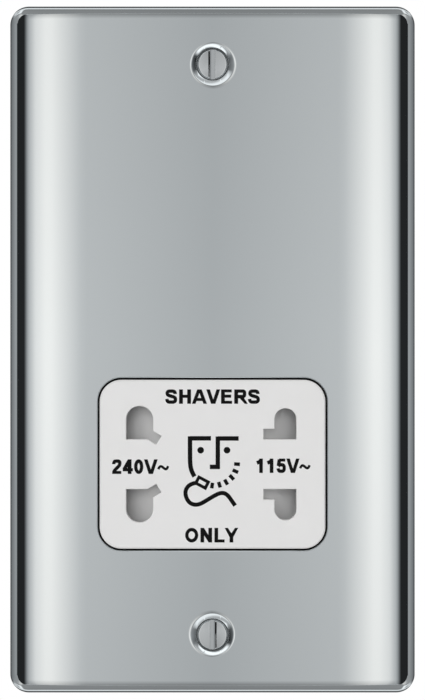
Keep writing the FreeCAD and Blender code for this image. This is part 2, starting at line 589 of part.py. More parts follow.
# Bridge: contact plate in the shutter's back that joins the two switch strips near either end of travel.
switch_bridge = new_body("switch_bridge")
box(switch_bridge, "dim.bridge_width", "dim.bridge_height", bridge_seat, f"{TRAY_FLOOR} + dim.switch_gap",
    up="dim.face_centre")

# Shutter springs: folded strips between the bar and the tray's end walls.
SPRING_FOLDS = 6
spring_pitch = f"((dim.slide_travel + dim.spring_solid - 2 * dim.seat_gap) / {SPRING_FOLDS})"
fold_thickness = f"(dim.spring_strip * sqrt({spring_pitch}^2 + (2 * dim.spring_swing)^2) / {spring_pitch})"
for label, side in (("shutter_spring_left", -1), ("shutter_spring_right", 1)):
    spring = new_body(label)
    folds = new_sketch(spring, "XY", f"{side} * (dim.slide_half + dim.seat_gap)",
                       f"-({SLIDE_FRONT} + {SLIDE_BACK} + {fold_thickness}) / 2",
                       "dim.face_centre + dim.spring_height / 2")
    front_line = [(f"{side * i} * {spring_pitch}", f"{(-1) ** i} * dim.spring_swing")
                  for i in range(SPRING_FOLDS + 1)]
    back_line = [(x, f"{y} + {fold_thickness}") for x, y in reversed(front_line)]
    draw_outline(folds, front_line + back_line)
    extrude(spring, folds, "dim.spring_height")

# Contact carrier: moulded tray for the shutter with four contact wells behind its floor.
contact_carrier = new_body("contact_carrier")
box(contact_carrier, CARRIER_WIDTH, "dim.carrier_height", FLANGE_BACK, CARRIER_BACK, up="dim.face_centre")
box(contact_carrier, f"2 * {TRAY_HALF}", "dim.slide_height + 2 * dim.slide_gap", FLANGE_BACK, TRAY_FLOOR,
    up="dim.face_centre", cut=True)
tag_hole = ("dim.tag_width + 2 * dim.tag_fit", "dim.tag_height + 2 * dim.tag_fit")
WELLS = [(side, end, f"{side} * dim.{slot}_offset") for side, slot in ((-1, "slot_240"), (1, "slot_115"))
         for end in SIDES]
for side, end, slot_x in WELLS:
    well_height = f"dim.face_centre + {end} * dim.well_offset"
    box(contact_carrier, "dim.well_width", "dim.well_height", TRAY_FLOOR, WELL_FLOOR,
        right=f"{slot_x} - {side} * dim.well_shift", up=well_height, cut=True)
    box(contact_carrier, *tag_hole, WELL_FLOOR, f"{CARRIER_BACK} - {PAST}", right=slot_x, up=well_height,
        cut=True)
line_height = "(dim.face_centre + dim.switch_offset)"
load_height = "(dim.face_centre - dim.switch_offset)"
load_bar = f"({TRAY_FLOOR} - dim.switch_leg)"
load_end = "(dim.load_tag + dim.tag_width / 2)"
strip_width = "dim.switch_width + 2 * dim.tag_fit"
box(contact_carrier, "2 * (dim.switch_half + dim.tag_fit)", strip_width, TRAY_FLOOR,
    f"{TRAY_FLOOR} - dim.switch_sheet", up=line_height, cut=True)
box(contact_carrier, *tag_hole, TRAY_FLOOR, f"{CARRIER_BACK} - {PAST}", up=line_height, cut=True)
box(contact_carrier, f"dim.switch_half + {load_end} + 2 * dim.tag_fit", strip_width, TRAY_FLOOR,
    f"{load_bar} - dim.switch_sheet", right=f"({load_end} - dim.switch_half) / 2", up=load_height, cut=True)
box(contact_carrier, *tag_hole, load_bar, f"{CARRIER_BACK} - {PAST}", right="dim.load_tag", up=load_height,
    cut=True)

# Switch strips: a straight line strip, and a load strip whose two pads leave a gap for the open position.
switch_line_strip = new_body("switch_line_strip")
box(switch_line_strip, "2 * dim.switch_half", "dim.switch_width", TRAY_FLOOR,
    f"{TRAY_FLOOR} - dim.switch_sheet", up=line_height)
box(switch_line_strip, "dim.tag_width", "dim.tag_height", TRAY_FLOOR, TAG_END, up=line_height)

switch_load_strip = new_body("switch_load_strip")
strip = new_sketch(switch_load_strip, "XY", level=f"{load_height} + dim.switch_width / 2")
pad_back = f"({TRAY_FLOOR} - dim.switch_sheet)"
draw_outline(strip, [(x, f"-{level}") for x, level in (
    ("-dim.switch_half", TRAY_FLOOR), ("-dim.switch_open", TRAY_FLOOR), ("-dim.switch_open", pad_back),
    ("-dim.switch_half + dim.switch_sheet", pad_back), ("-dim.switch_half + dim.switch_sheet", load_bar),
    ("dim.switch_half - dim.switch_sheet", load_bar), ("dim.switch_half - dim.switch_sheet", pad_back),
    ("dim.switch_open", pad_back), ("dim.switch_open", TRAY_FLOOR), ("dim.switch_half", TRAY_FLOOR),
    ("dim.switch_half", load_bar), (load_end, load_bar), (load_end, f"({load_bar} - dim.switch_sheet)"),
    ("-dim.switch_half", f"({load_bar} - dim.switch_sheet)"),
)])
extrude(switch_load_strip, strip, "dim.switch_width")
box(switch_load_strip, "dim.tag_width", "dim.tag_height", f"{load_bar} - dim.switch_sheet / 2", TAG_END,
    right="dim.load_tag", up=load_height)


def add_clip(body, slot_x, end, tag_end):
    """Sprung U of strip in one well, gripping a pin from both sides, with a tag through the carrier."""
    clip_z = f"(dim.face_centre + {end} * dim.well_offset)"
    clip = new_sketch(body, "XY", slot_x, f"-{WELL_FLOOR}", f"{clip_z} + dim.clip_height / 2")
    root, root_inner = "dim.clip_half", "(dim.clip_half - dim.clip_sheet)"
    pinch, mouth = "-dim.clip_pinch_depth", "-dim.clip_length"
    right_side = [
        (root, "0"), ("(dim.clip_pinch + dim.clip_sheet)", pinch),
        ("(dim.clip_flare + dim.clip_sheet)", mouth), ("dim.clip_flare", mouth),
        ("dim.clip_pinch", pinch), (root_inner, "-dim.clip_sheet"),
    ]
    draw_outline(clip, right_side + [("-" + x, y) for x, y in reversed(right_side)])
    extrude(body, clip, "dim.clip_height")
    box(body, "dim.tag_width", "dim.tag_height", f"{WELL_FLOOR} + dim.clip_sheet / 2", tag_end,
        right=slot_x, up=clip_z)


# Plug contacts: one clip for each upper slot, and a pair joined by a strip for the lower slots.
contact_240 = new_body("contact_240")
add_clip(contact_240, "-dim.slot_240_offset", 1, TAG_END)
contact_115 = new_body("contact_115")
add_clip(contact_115, "dim.slot_115_offset", 1, TAG_END)
contact_common = new_body("contact_common")
common_back = f"({CARRIER_BACK} - dim.clip_sheet)"
common_height = "(dim.face_centre - dim.well_offset)"
box(contact_common, "dim.slot_240_offset + dim.slot_115_offset + dim.tag_width", "dim.common_drop",
    CARRIER_BACK, common_back, right="(dim.slot_115_offset - dim.slot_240_offset) / 2", up=common_height)
add_clip(contact_common, "-dim.slot_240_offset", -1, common_back)
add_clip(contact_common, "dim.slot_115_offset", -1, common_back)
box(contact_common, "dim.tag_width", "dim.tag_height", CARRIER_BACK, TAG_END,
    right="dim.common_tag", up=common_height)

# Transformer core: stack of laminations with two windows round the middle leg.
core_laminations = new_body("core_laminations")
box(core_laminations, "dim.core_width", "dim.core_height", CORE_FRONT, CORE_BACK, up="dim.core_centre")
for side in SIDES:
    box(core_laminations, "dim.window_width", "dim.window_height", f"{CORE_FRONT} + {PAST}",
        f"{CORE_BACK} - {PAST}", right=f"{side} * (dim.tongue_width + dim.window_width) / 2",
        up="dim.core_centre", cut=True)


def coil_block(body, width, depth, top, height, corner=None, cut=False):
    """Block or hole about the core's middle leg, running down from a height."""
    sketch = new_sketch(body, "XY", "0", f"-{CORE_MIDDLE}", top)
    if corner:
        draw_rounded_box(sketch, width, depth, corner)
    else:
        draw_box(sketch, width, depth)
    extrude(body, sketch, height, cut)


# Bobbin: tube on the middle leg with three cheeks that keep the two windings apart.
coil_bobbin = new_body("coil_bobbin")
bobbin_height = "(dim.window_height - 2 * dim.bobbin_fit)"
bobbin_top = f"(dim.core_centre + {bobbin_height} / 2)"
tube_width = "(dim.tongue_width + 2 * dim.bobbin_fit + 2 * dim.bobbin_wall)"
tube_depth = "(dim.core_stack + 2 * dim.bobbin_fit + 2 * dim.bobbin_wall)"
cheek_width = "(dim.tongue_width + 2 * dim.window_width - 2 * dim.bobbin_fit)"
cheek_depth = "(dim.core_stack + 2 * dim.coil_build)"
coil_block(coil_bobbin, tube_width, tube_depth, bobbin_top, bobbin_height)
for cheek_top in (bobbin_top, "dim.core_centre + dim.bobbin_wall / 2",
                  f"{bobbin_top} - {bobbin_height} + dim.bobbin_wall"):
    coil_block(coil_bobbin, cheek_width, cheek_depth, cheek_top, "dim.bobbin_wall")
coil_block(coil_bobbin, "dim.tongue_width + 2 * dim.bobbin_fit", "dim.core_stack + 2 * dim.bobbin_fit",
           f"{bobbin_top} + {PAST}", f"{bobbin_height} + 2 * {PAST}", cut=True)

# Windings: primary above the middle cheek, secondary below it.
chamber = f"(({bobbin_height} - 3 * dim.bobbin_wall) / 2)"
layer_height = f"({chamber} - 2 * dim.seat_gap)"
for label, chamber_top in (
    ("primary_winding", f"{bobbin_top} - dim.bobbin_wall - dim.seat_gap"),
    ("secondary_winding", "dim.core_centre - dim.bobbin_wall / 2 - dim.seat_gap"),
):
    winding = new_body(label)
    coil_block(winding, f"{cheek_width} - 2 * dim.winding_inset", f"{cheek_depth} - 2 * dim.winding_inset",
               chamber_top, layer_height, "dim.winding_corner")
    coil_block(winding, f"{tube_width} + 2 * dim.seat_gap", f"{tube_depth} + 2 * dim.seat_gap", chamber_top,
               layer_height, cut=True)

# Overload protector: flat block lying on the primary winding.
thermal_cutout = new_body("thermal_cutout")
winding_front = f"({COIL_FRONT} - dim.winding_inset)"
primary_middle = f"({bobbin_top} - dim.bobbin_wall - {chamber} / 2)"
box(thermal_cutout, "dim.cutout_width", "dim.cutout_height", f"{winding_front} + dim.cutout_depth",
    winding_front, up=primary_middle)

# Rear housing: moulded cover with a deep transformer bay above a shallow deck that carries the terminals.
rear_housing = new_body("rear_housing")
bay_height = "(dim.housing_height / 2 - dim.bay_bottom)"
bay_centre = "((dim.housing_height / 2 + dim.bay_bottom) / 2)"
inner_width = "dim.housing_width - 2 * dim.housing_wall"
inner_corner = "dim.housing_corner - dim.housing_wall"
ear_front, ear_back = LINER_BACK, f"{LINER_BACK} - dim.ear_thickness"
ear_length = "(dim.ear_reach + dim.ear_half)"
box(rear_housing, "dim.housing_width", "dim.housing_height", LINER_BACK, DECK_BACK,
    corner="dim.housing_corner")
box(rear_housing, "dim.housing_width", bay_height, LINER_BACK, BAY_BACK, up=bay_centre,
    corner="dim.housing_corner")
bevel_edges(rear_housing, "dim.housing_edge", lambda e: lies_at(e, value(BAY_BACK)))
for end in SIDES:
    ear_x = f"{end} * dim.ear_offset"
    box(rear_housing, "2 * dim.ear_half", f"{ear_length} + dim.housing_wall", ear_front, ear_back,
        right=ear_x, up=f"{end} * (dim.housing_height / 2 + ({ear_length} - dim.housing_wall) / 2)")
    disc(rear_housing, "dim.tapper_radius + 2 * dim.tapper_fit", f"{ear_front} + {PAST}",
         f"{ear_back} - {PAST}", right=ear_x, up=f"{end} * {EAR_HEIGHT}", cut=True)
box(rear_housing, inner_width, "dim.housing_height - 2 * dim.housing_wall", f"{LINER_BACK} + {PAST}",
    DECK_INSIDE, corner=inner_corner, cut=True)
box(rear_housing, inner_width, f"{bay_height} - 2 * dim.housing_wall", f"{LINER_BACK} + {PAST}", BAY_FLOOR,
    up=bay_centre, corner=inner_corner, cut=True)
for side in SIDES:
    for end in SIDES:
        box(rear_housing, "dim.post_width", "dim.post_height", f"{CORE_BACK} - dim.seat_gap",
            f"{BAY_FLOOR} - dim.housing_wall / 2", right=f"{side} * {POST_SIDE}",
            up=f"dim.core_centre + {end} * {POST_RISE}")
        box(rear_housing, "dim.post_width", "dim.post_height", f"{CARRIER_BACK} - dim.seat_gap",
            f"{DECK_INSIDE} - dim.housing_wall / 2",
            right=f"{side} * ({CARRIER_WIDTH} - dim.post_width) / 2",
            up=f"dim.face_centre + {end} * (dim.carrier_height - dim.post_height) / 2")
for place in (-1.5, -0.5, 0.5, 1.5):
    box(rear_housing, "dim.barrier_width", "dim.barrier_height", f"{DECK_BACK} + dim.housing_wall / 2",
        f"{DECK_BACK} - dim.barrier_depth", right=f"{place} * dim.terminal_pitch",
        up="dim.terminal_centre + dim.barrier_rise")
for place in (-1, 0):
    box(rear_housing, *tag_hole, f"{DECK_INSIDE} + {PAST}", f"{DECK_BACK} - {PAST}",
        right=f"{place} * dim.terminal_pitch", up="dim.terminal_centre + dim.terminal_tag", cut=True)
box(rear_housing, "dim.strap_width + 2 * dim.tag_fit", "dim.strap_sheet + 2 * dim.tag_fit",
    f"{DECK_INSIDE} + {PAST}", f"{DECK_BACK} - {PAST}", right="dim.terminal_pitch", up=STRAP_HEIGHT,
    cut=True)
vent = box(rear_housing, "dim.vent_length", "dim.vent_width", f"{BAY_FLOOR} + {PAST}",
           f"{BAY_BACK} - {PAST}", up=f"{bay_centre} - (dim.vent_count - 1) * dim.vent_pitch / 2", cut=True)
vents = rear_housing.newObject("PartDesign::LinearPattern", "rear_housing_vents")
vents.Originals = [vent]
vents.Direction = (next(f for f in rear_housing.Origin.OriginFeatures if f.Role == "Z_Axis"), [""])
vents.setExpression("Length", "(dim.vent_count - 1) * dim.vent_pitch")
vents.setExpression("Occurrences", "dim.vent_count")
rear_housing.Tip = vents

# Housing screws: two short self-tappers through the housing's ears into the liner.
housing_screws = new_body("housing_screws")
tapper_seat = f"({LINER_BACK} - dim.ear_thickness)"
tapper_back = f"({tapper_seat} - dim.tapper_head_height)"
tapper_tip = f"({RIB_TOP} - dim.tapper_cap - dim.seat_gap)"
for end in SIDES:
    ear_x, ear_z = f"{end} * dim.ear_offset", f"{end} * {EAR_HEIGHT}"
    turned(housing_screws, [
        (tapper_tip, "0"), (tapper_tip, "dim.tapper_radius"), (tapper_seat, "dim.tapper_radius"),
        (tapper_seat, "dim.tapper_head"), (tapper_back, "dim.tapper_head"), (tapper_back, "0"),
    ], right=ear_x, up=ear_z)
    box(housing_screws, f"2 * (dim.tapper_head + {PAST})", "dim.tapper_slot",
        f"{tapper_back} + dim.tapper_slot", f"{tapper_back} - {PAST}", right=ear_x, up=ear_z, cut=True)

# Terminals: brass blocks on the deck, with a wire hole from below and a clamping screw from behind.
for label, place in (("terminal_live", 0), ("terminal_neutral", -1), ("terminal_earth", 1)):
    terminal = new_body(label)
    terminal_x = f"{place} * dim.terminal_pitch"
    box(terminal, "dim.terminal_width", "dim.terminal_height", DECK_BACK, TERMINAL_BACK,
        right=terminal_x, up="dim.terminal_centre")
    if label != "terminal_earth":
        box(terminal, "dim.tag_width", "dim.tag_height", f"{DECK_INSIDE} + dim.tag_length",
            f"{DECK_BACK} - dim.terminal_root", right=terminal_x,
            up="dim.terminal_centre + dim.terminal_tag")
    bore = new_sketch(terminal, "XY", terminal_x, f"-{BORE_LEVEL}",
                      f"dim.terminal_centre + dim.terminal_height / 2 + {PAST}")
    draw_circle(bore, "dim.terminal_bore")
    extrude(terminal, bore, f"dim.terminal_height + 2 * {PAST}", cut=True)
    disc(terminal, "dim.clamp_radius + dim.clamp_fit", BORE_LEVEL, f"{TERMINAL_BACK} - {PAST}",
         right=terminal_x, up="dim.terminal_centre", cut=True)

# Terminal screws: slotted clamping screws, open, with their tips just clear of the wire holes.
terminal_screws = new_body("terminal_screws")
clamp_tip = f"({BORE_LEVEL} - dim.terminal_bore - dim.clamp_fit)"
clamp_seat = f"({TERMINAL_BACK} - dim.clamp_stand)"
clamp_back = f"({clamp_seat} - dim.clamp_head_height)"
for place in (-1, 0, 1):
    terminal_x = f"{place} * dim.terminal_pitch"
    turned(terminal_screws, [
        (clamp_tip, "0"), (clamp_tip, "dim.clamp_radius"), (clamp_seat, "dim.clamp_radius"),
        (clamp_seat, "dim.clamp_head"), (clamp_back, "dim.clamp_head"), (clamp_back, "0"),
    ], right=terminal_x, up="dim.terminal_centre")
    box(terminal_screws, f"2 * (dim.clamp_head + {PAST})", "dim.clamp_slot",
        f"{clamp_back} + dim.clamp_slot", f"{clamp_back} - {PAST}", right=terminal_x,
        up="dim.terminal_centre", cut=True)

# Earth strap: brass strip from the earth terminal, through the liner, to a foot on the plate's back.
earth_strap = new_body("earth_strap")
foot_front = (f"({CROWN_INSIDE} - dim.seat_gap - dim.crown_rise"
              f" * ((dim.terminal_pitch + dim.strap_width / 2) / {CROWN_HALF})^2)")
bend = new_sketch(earth_strap, "YZ", "0", STRAP_HEIGHT, "dim.terminal_pitch + dim.strap_width / 2")
foot_end = "-(dim.strap_sheet / 2 + dim.strap_foot)"
draw_outline(bend, [
    (f"-{DECK_BACK}", "dim.strap_sheet / 2"), (f"-{foot_front}", "dim.strap_sheet / 2"),
    (f"-{foot_front}", foot_end), (f"-({foot_front} - dim.strap_sheet)", foot_end),
    (f"-({foot_front} - dim.strap_sheet)", "-dim.strap_sheet / 2"),
    (f"-{DECK_BACK}", "-dim.strap_sheet / 2"),
])
extrude(earth_strap, bend, "dim.strap_width")


LEAD_SIDES = 6


def add_lead(label, start, route, end):
    """Six-sided insulated wire on straight runs and wide arcs, by points of side, level and height."""
    ends = [tuple(value(e) for e in point) for point in (start, end)]
    places = [Vector(x, -level, z) for x, level, z in (ends[0], *route, ends[1])]
    edges, reached, radii = [], places[0], []
    for before, corner, after in zip(places, places[1:], places[2:]):
        arriving, leaving = corner - before, after - corner
        half_turn = arriving.getAngle(leaving) / 2
        reach = 0.45 * min(arriving.Length, leaving.Length)
        radius = reach / math.tan(half_turn)
        arriving.normalize()
        leaving.normalize()
        inwards = (leaving - arriving).normalize()
        middle = corner + inwards * radius * (1 / math.cos(half_turn) - 1)
        edges.append(Part.LineSegment(reached, corner - arriving * reach).toShape())
        edges.append(Part.Arc(corner - arriving * reach, middle, corner + leaving * reach).toShape())
        reached = corner + leaving * reach
        radii.append(round(radius, 1))
    edges.append(Part.LineSegment(reached, places[-1]).toShape())
    ring = Part.Circle(places[0], places[1] - places[0], value("dim.lead_radius"))
    corners = [ring.value(2 * math.pi * i / LEAD_SIDES) for i in range(LEAD_SIDES)]
    section = Part.Face(Part.makePolygon(corners + corners[:1]))
    path = Part.Wire(edges)
    wire = doc.addObject("Part::Feature", label)
    wire.Label = label
    wire.Shape = path.makePipeShell([section.OuterWire], True, False)
    wire.Placement = Placement()
    share = wire.Shape.Volume / (section.Area * path.Length)
    print(label, "radii", radii, "volume share", round(share, 4))


# Inner wiring: from the terminals to the switch and primary, and from the secondary to the plug contacts.
tag_top = "dim.tag_height / 2 + dim.lead_gap"
carrier_tag = f"{CARRIER_BACK} - dim.tag_length / 2"
terminal_tag = f"{DECK_INSIDE} + dim.tag_length / 2"
terminal_top = f"dim.terminal_centre + dim.terminal_tag + {tag_top}"
upper_top = f"dim.face_centre + dim.well_offset + {tag_top}"
on_winding = f"{winding_front} + dim.lead_radius + dim.lead_gap"
add_lead("lead_live", ("0", terminal_tag, terminal_top),
         [(0, -20.8, -36.0), (0, -18.4, -29.5)],
         ("0", carrier_tag, f"{line_height} - ({tag_top})"))
add_lead("lead_neutral", ("-dim.terminal_pitch", terminal_tag, terminal_top),
         [(-18.4, -20.4, -35.0), (-21.4, -19.6, -27.0), (-22.6, -18.8, -16.0), (-22.2, -18.5, -4.8),
          (-20.8, -6.0, 2.6), (-20.3, -3.9, 13.0), (-20.0, -3.3, 21.6), (-18.2, -2.2, 29.4)],
         ("-dim.cutout_width / 2 - dim.lead_radius", on_winding, primary_middle))
add_lead("lead_switched", ("dim.load_tag", carrier_tag, f"{load_height} + {tag_top}"),
         [(21.8, -18.8, -15.0), (21.6, -18.5, -4.8), (20.6, -6.0, 2.6), (20.3, -3.6, 13.0),
          (20.0, -2.8, 21.0), (18.2, -1.7, 29.6)],
         ("dim.cutout_width / 2 + dim.lead_gap", f"{winding_front} + dim.cutout_depth / 2", primary_middle))
secondary_middle = f"(dim.core_centre - dim.bobbin_wall / 2 - {chamber} / 2)"
add_lead("lead_240", ("-dim.slot_240_offset", carrier_tag, upper_top),
         [(-15.0, -18.4, -4.6), (-12.6, -6.0, 2.6), (-11.4, 0.0, 12.4)],
         ("-dim.tongue_width / 2 - dim.bobbin_wall", on_winding, secondary_middle))
add_lead("lead_115", ("dim.slot_115_offset", carrier_tag, upper_top),
         [(15.0, -18.4, -4.6), (12.6, -6.0, 2.6), (11.4, 0.0, 12.4)],
         ("dim.tongue_width / 2 + dim.bobbin_wall", on_winding, secondary_middle))
add_lead("lead_common", ("dim.common_tag", carrier_tag, f"{common_height} + {tag_top}"),
         [(-9.0, -18.8, -24.0), (-8.4, -18.7, -14.5), (-7.2, -18.4, -4.8), (-5.0, -6.0, 2.6),
          (-4.0, 0.0, 12.4)],
         ("-dim.lead_radius * 5", on_winding, secondary_middle))

doc.recompute()
nodes = [o for o in doc.Objects if o.TypeId in ("PartDesign::Body", "Part::Feature")]
for thing in doc.Objects:
    if "Invalid" in thing.State or "Error" in thing.State:
        raise RuntimeError(f"{thing.Label} failed: {thing.State}")
for node in nodes:
    if node.Shape.isNull() or not node.Shape.isValid() or not node.Shape.Solids:
        raise RuntimeError(f"{node.Label} has no sound solid")
os.makedirs("parts", exist_ok=True)
for node in nodes:
    node.Shape.exportStep(f"parts/{node.Label}.step")
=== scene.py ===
import math

import bmesh
import bpy
from mathutils import Matrix, Vector


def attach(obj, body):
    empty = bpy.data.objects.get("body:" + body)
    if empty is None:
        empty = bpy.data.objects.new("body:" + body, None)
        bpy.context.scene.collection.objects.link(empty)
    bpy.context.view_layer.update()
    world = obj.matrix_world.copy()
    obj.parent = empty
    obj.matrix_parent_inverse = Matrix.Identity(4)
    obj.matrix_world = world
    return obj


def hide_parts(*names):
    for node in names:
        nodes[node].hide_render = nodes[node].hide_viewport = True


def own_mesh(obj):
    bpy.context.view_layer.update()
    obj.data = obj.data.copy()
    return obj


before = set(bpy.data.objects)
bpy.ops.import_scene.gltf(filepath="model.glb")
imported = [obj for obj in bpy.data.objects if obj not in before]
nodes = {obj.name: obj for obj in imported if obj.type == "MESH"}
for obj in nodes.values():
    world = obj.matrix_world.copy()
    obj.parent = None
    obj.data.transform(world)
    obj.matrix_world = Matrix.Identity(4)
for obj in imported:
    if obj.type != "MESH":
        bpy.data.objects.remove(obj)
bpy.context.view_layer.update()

MM = 0.001


# Front plate: one pressing of chromed steel sheet, arched from side to side, with a flat lip that
# lies on the wall, two dishes for the fixing screws and the opening for the socket face.
SHEET = 1.0
PLATE_SIDE, PLATE_END, PLATE_CORNER = 43.0, 73.0, 4.0
DOME_SIDE, DOME_END, DOME_CORNER, LIP_LEVEL = 41.43, 71.0, 2.0, 1.4
END_BOWS, END_CUTS = ((3.0, 20.0), (0.1, 86.0)), (8, 7)
CROWN_LEVEL, CROWN_SIDE = 6.7, 26.55
ARCH_POINTS, ARCH_CUTS = ((CROWN_SIDE, 6.0), (38.75, 3.9), (DOME_SIDE, LIP_LEVEL)), (16, 16, 14)
OPENING_SIDE, OPENING_END, OPENING_CORNER, OPENING_MIDDLE = 24.25, 18.25, 5.05, -24.2
SCREW_HEIGHT = 60.3
TINY, SNAP, NEAR, CLOSE = 1e-6, 1e-5, 1e-4, 1e-3


def arch_bows():
    """Centre, radius and end of each bow of the arch, from the crown out to the lip."""
    (x, level), tilt = (0.0, CROWN_LEVEL), 0.0
    bows = []
    for end_x, end_level in ARCH_POINTS:
        chord = math.hypot(end_x - x, level - end_level)
        half_turn = math.atan2(level - end_level, end_x - x) - tilt
        radius = chord / 2 / math.sin(half_turn)
        bows.append((x - radius * math.sin(tilt), level - radius * math.cos(tilt), radius, end_x))
        (x, level), tilt = (end_x, end_level), tilt + 2 * half_turn
    return bows


BOWS = arch_bows()


def arch(x, inside=0.0):
    """Level and tilt of the arch at a distance from its middle, on the sheet's front or inside it."""
    for centre, base, radius, end_x in BOWS:
        reach = radius - inside
        if abs(x) <= centre + reach * (end_x - centre) / radius + TINY:
            tilt = math.asin(max(-1.0, min(1.0, (abs(x) - centre) / reach)))
            return base + reach * math.cos(tilt), math.copysign(tilt, x)
    return LIP_LEVEL - inside, math.copysign(math.pi / 2, x)


def end_bows():
    """Start, radius, first and last slope of each bow at the crown's ends, from the middle outwards."""
    slopes = [0.0] + [math.radians(turn) for radius, turn in END_BOWS]
    radii = [radius for radius, turn in END_BOWS]
    spans = [radius * (math.sin(last) - math.sin(first))
             for radius, first, last in zip(radii, slopes, slopes[1:])]
    starts = [DOME_END - sum(spans[i:]) for i in range(len(spans))]
    return list(zip(starts, radii, slopes, slopes[1:]))


END_RUNS = end_bows()


def end_fall(y):
    """Fall and tilt of the crown towards its ends: a soft bow, then a tight one at the very edge."""
    fall = 0.0
    for start, radius, first, last in END_RUNS:
        if abs(y) <= start:
            return fall, first
        if abs(y) <= start + radius * (math.sin(last) - math.sin(first)) + TINY:
            here = math.asin(min(1.0, (abs(y) - start) / radius + math.sin(first)))
            return fall + radius * (math.cos(first) - math.cos(here)), here
        fall += radius * (math.cos(first) - math.cos(last))
    return fall, END_RUNS[-1][-1]


def height_share(x):
    """How much of the crown's height is left at a distance from its middle."""
    return max(0.0, (arch(x)[0] - LIP_LEVEL) / (CROWN_LEVEL - LIP_LEVEL))


def end_rows():
    """Distances from the middle at which the crown is cut across to follow its end bows."""
    rows = []
    for (start, radius, first, last), count in zip(END_RUNS, END_CUTS):
        rows += [start + radius * (math.sin(first + (last - first) * i / count) - math.sin(first))
                 for i in range(count)]
    return rows


def rounded_face(bm, side, end, corner, level, middle=0.0, segments=16):
    """One face with four round corners, lying flat."""
    made = bmesh.ops.create_grid(bm, x_segments=1, y_segments=1, size=0.5)["verts"]
    bmesh.ops.scale(bm, verts=made, vec=(2 * side, 2 * end, 1))
    bmesh.ops.translate(bm, verts=made, vec=(0, middle, level))
    made = bmesh.ops.bevel(bm, geom=made, offset=corner, offset_type="OFFSET", affect="VERTICES",
                           segments=segments, profile=0.5, material=-1)["verts"]
    return made[0].link_faces[0]


def open_loop(bm, face):
    """Takes a face away and gives back the loop of edges that was round it."""
    edges = list(face.edges)
    bmesh.ops.delete(bm, geom=[face], context="FACES_ONLY")
    return edges


def step_in(bm, face, steps):
    """Rings inside a face's outline, each a step in and up; gives back the outer and inner loops."""
    known = set(bm.edges)
    for inwards, upwards in steps:
        bmesh.ops.inset_individual(bm, faces=[face], thickness=inwards, depth=upwards,
                                   use_even_offset=True)
    outer = [e for e in bm.edges if e.is_boundary and e not in known] or list(face.edges)
    return outer, open_loop(bm, face)


def rolled(radius, turn, count):
    """Steps inwards and downwards over a rolled edge that turns by an angle."""
    places = [(radius * math.sin(turn * i / count), radius * (math.cos(turn * i / count) - 1))
              for i in range(count + 1)]
    return [(b[0] - a[0], b[1] - a[1]) for a, b in zip(places, places[1:])]


def drop_edges(bm, edges, level):
    """Straight wall from a loop of edges down to a level; gives back its lower loop."""
    made = bmesh.ops.extrude_edge_only(bm, edges=edges)["geom"]
    for vert in (g for g in made if isinstance(g, bmesh.types.BMVert)):
        vert.co.z = level
    return [g for g in made if isinstance(g, bmesh.types.BMEdge)]


HOLE_ROOM = ((OPENING_MIDDLE, 26, 20), (SCREW_HEIGHT, 7, 7), (-SCREW_HEIGHT, 7, 7))


def pressed_skin(bm, side, end, corner, inside, foot_level, opening_steps, dish_steps, dish_rim, dish_shift):
    """One side of the pressed sheet: flat sheet with its holes, bowed to the arch, then turned down."""
    start = set(bm.verts)
    top = CROWN_LEVEL - inside
    wider = sum(inwards for inwards, up in opening_steps)
    hole = rounded_face(bm, OPENING_SIDE + wider, OPENING_END + wider, OPENING_CORNER + wider, top,
                        OPENING_MIDDLE)
    loops = step_in(bm, hole, opening_steps)[0]
    for way in (1, -1):
        known = set(bm.verts)
        made = bmesh.ops.create_circle(bm, cap_ends=True, segments=96, radius=dish_rim,
                                       matrix=Matrix.Translation((0, way * SCREW_HEIGHT, top)))["verts"]
        loops += step_in(bm, made[0].link_faces[0], dish_steps)[0]
        for vert in set(bm.verts) - known:
            reach = (vert.co.xy - Vector((0, way * SCREW_HEIGHT))).length
            share = max(0.0, (reach - SEAT_RADIUS) / (dish_rim - SEAT_RADIUS))
            vert.co.xy += way * share * Vector(dish_shift)
    outline = open_loop(bm, rounded_face(bm, side, end, corner, top))
    bmesh.ops.triangle_fill(bm, use_beauty=True, edges=loops + outline, normal=(0, 0, 1))
    cuts = []
    edge_x = 0.0
    for (centre, base, radius, end_x), count in zip(BOWS, ARCH_CUTS):
        low = math.asin((edge_x - centre) / radius)
        high = math.asin((end_x - centre) / radius)
        cuts += [((centre + radius * math.sin(low + (high - low) * i / count), 0, 0), (1, 0, 0))
                 for i in range(count)]
        edge_x = end_x
    cuts += [((0, y, 0), (0, 1, 0)) for y in end_rows()]
    for place, across in cuts:
        for sign in (1, -1):
            geom = [g for g in (*bm.verts, *bm.edges, *bm.faces)
                    if (g if isinstance(g, bmesh.types.BMVert) else g.verts[0]) not in start]
            bmesh.ops.bisect_plane(bm, geom=geom, dist=SNAP, plane_co=sign * Vector(place), plane_no=across)
    for vert in bm.verts:
        if vert not in start:
            vert.co.z = max(vert.co.z + arch(vert.co.x, inside)[0] - top
                            - end_fall(vert.co.y)[0] * height_share(vert.co.x), foot_level)
    rim = [e for e in bm.edges if e.is_boundary and e.verts[0] not in start and not any(
        abs(e.verts[0].co.x) < side_reach and abs(e.verts[0].co.y - middle) < end_reach
        for middle, side_reach, end_reach in HOLE_ROOM)]
    return drop_edges(bm, rim, foot_level)


def stand_up(bm, name):
    """Closes a flat-lying mesh, turns its top to the front and makes it an object."""
    bmesh.ops.remove_doubles(bm, verts=bm.verts, dist=NEAR)
    bmesh.ops.recalc_face_normals(bm, faces=bm.faces)
    bmesh.ops.transform(bm, verts=bm.verts,
                        matrix=Matrix.Rotation(math.pi / 2, 4, "X") @ Matrix.Scale(MM, 4))
    mesh = bpy.data.meshes.new(name)
    bm.to_mesh(mesh)
    bm.free()
    piece = bpy.data.objects.new(name, mesh)
    bpy.context.scene.collection.objects.link(piece)
    return piece


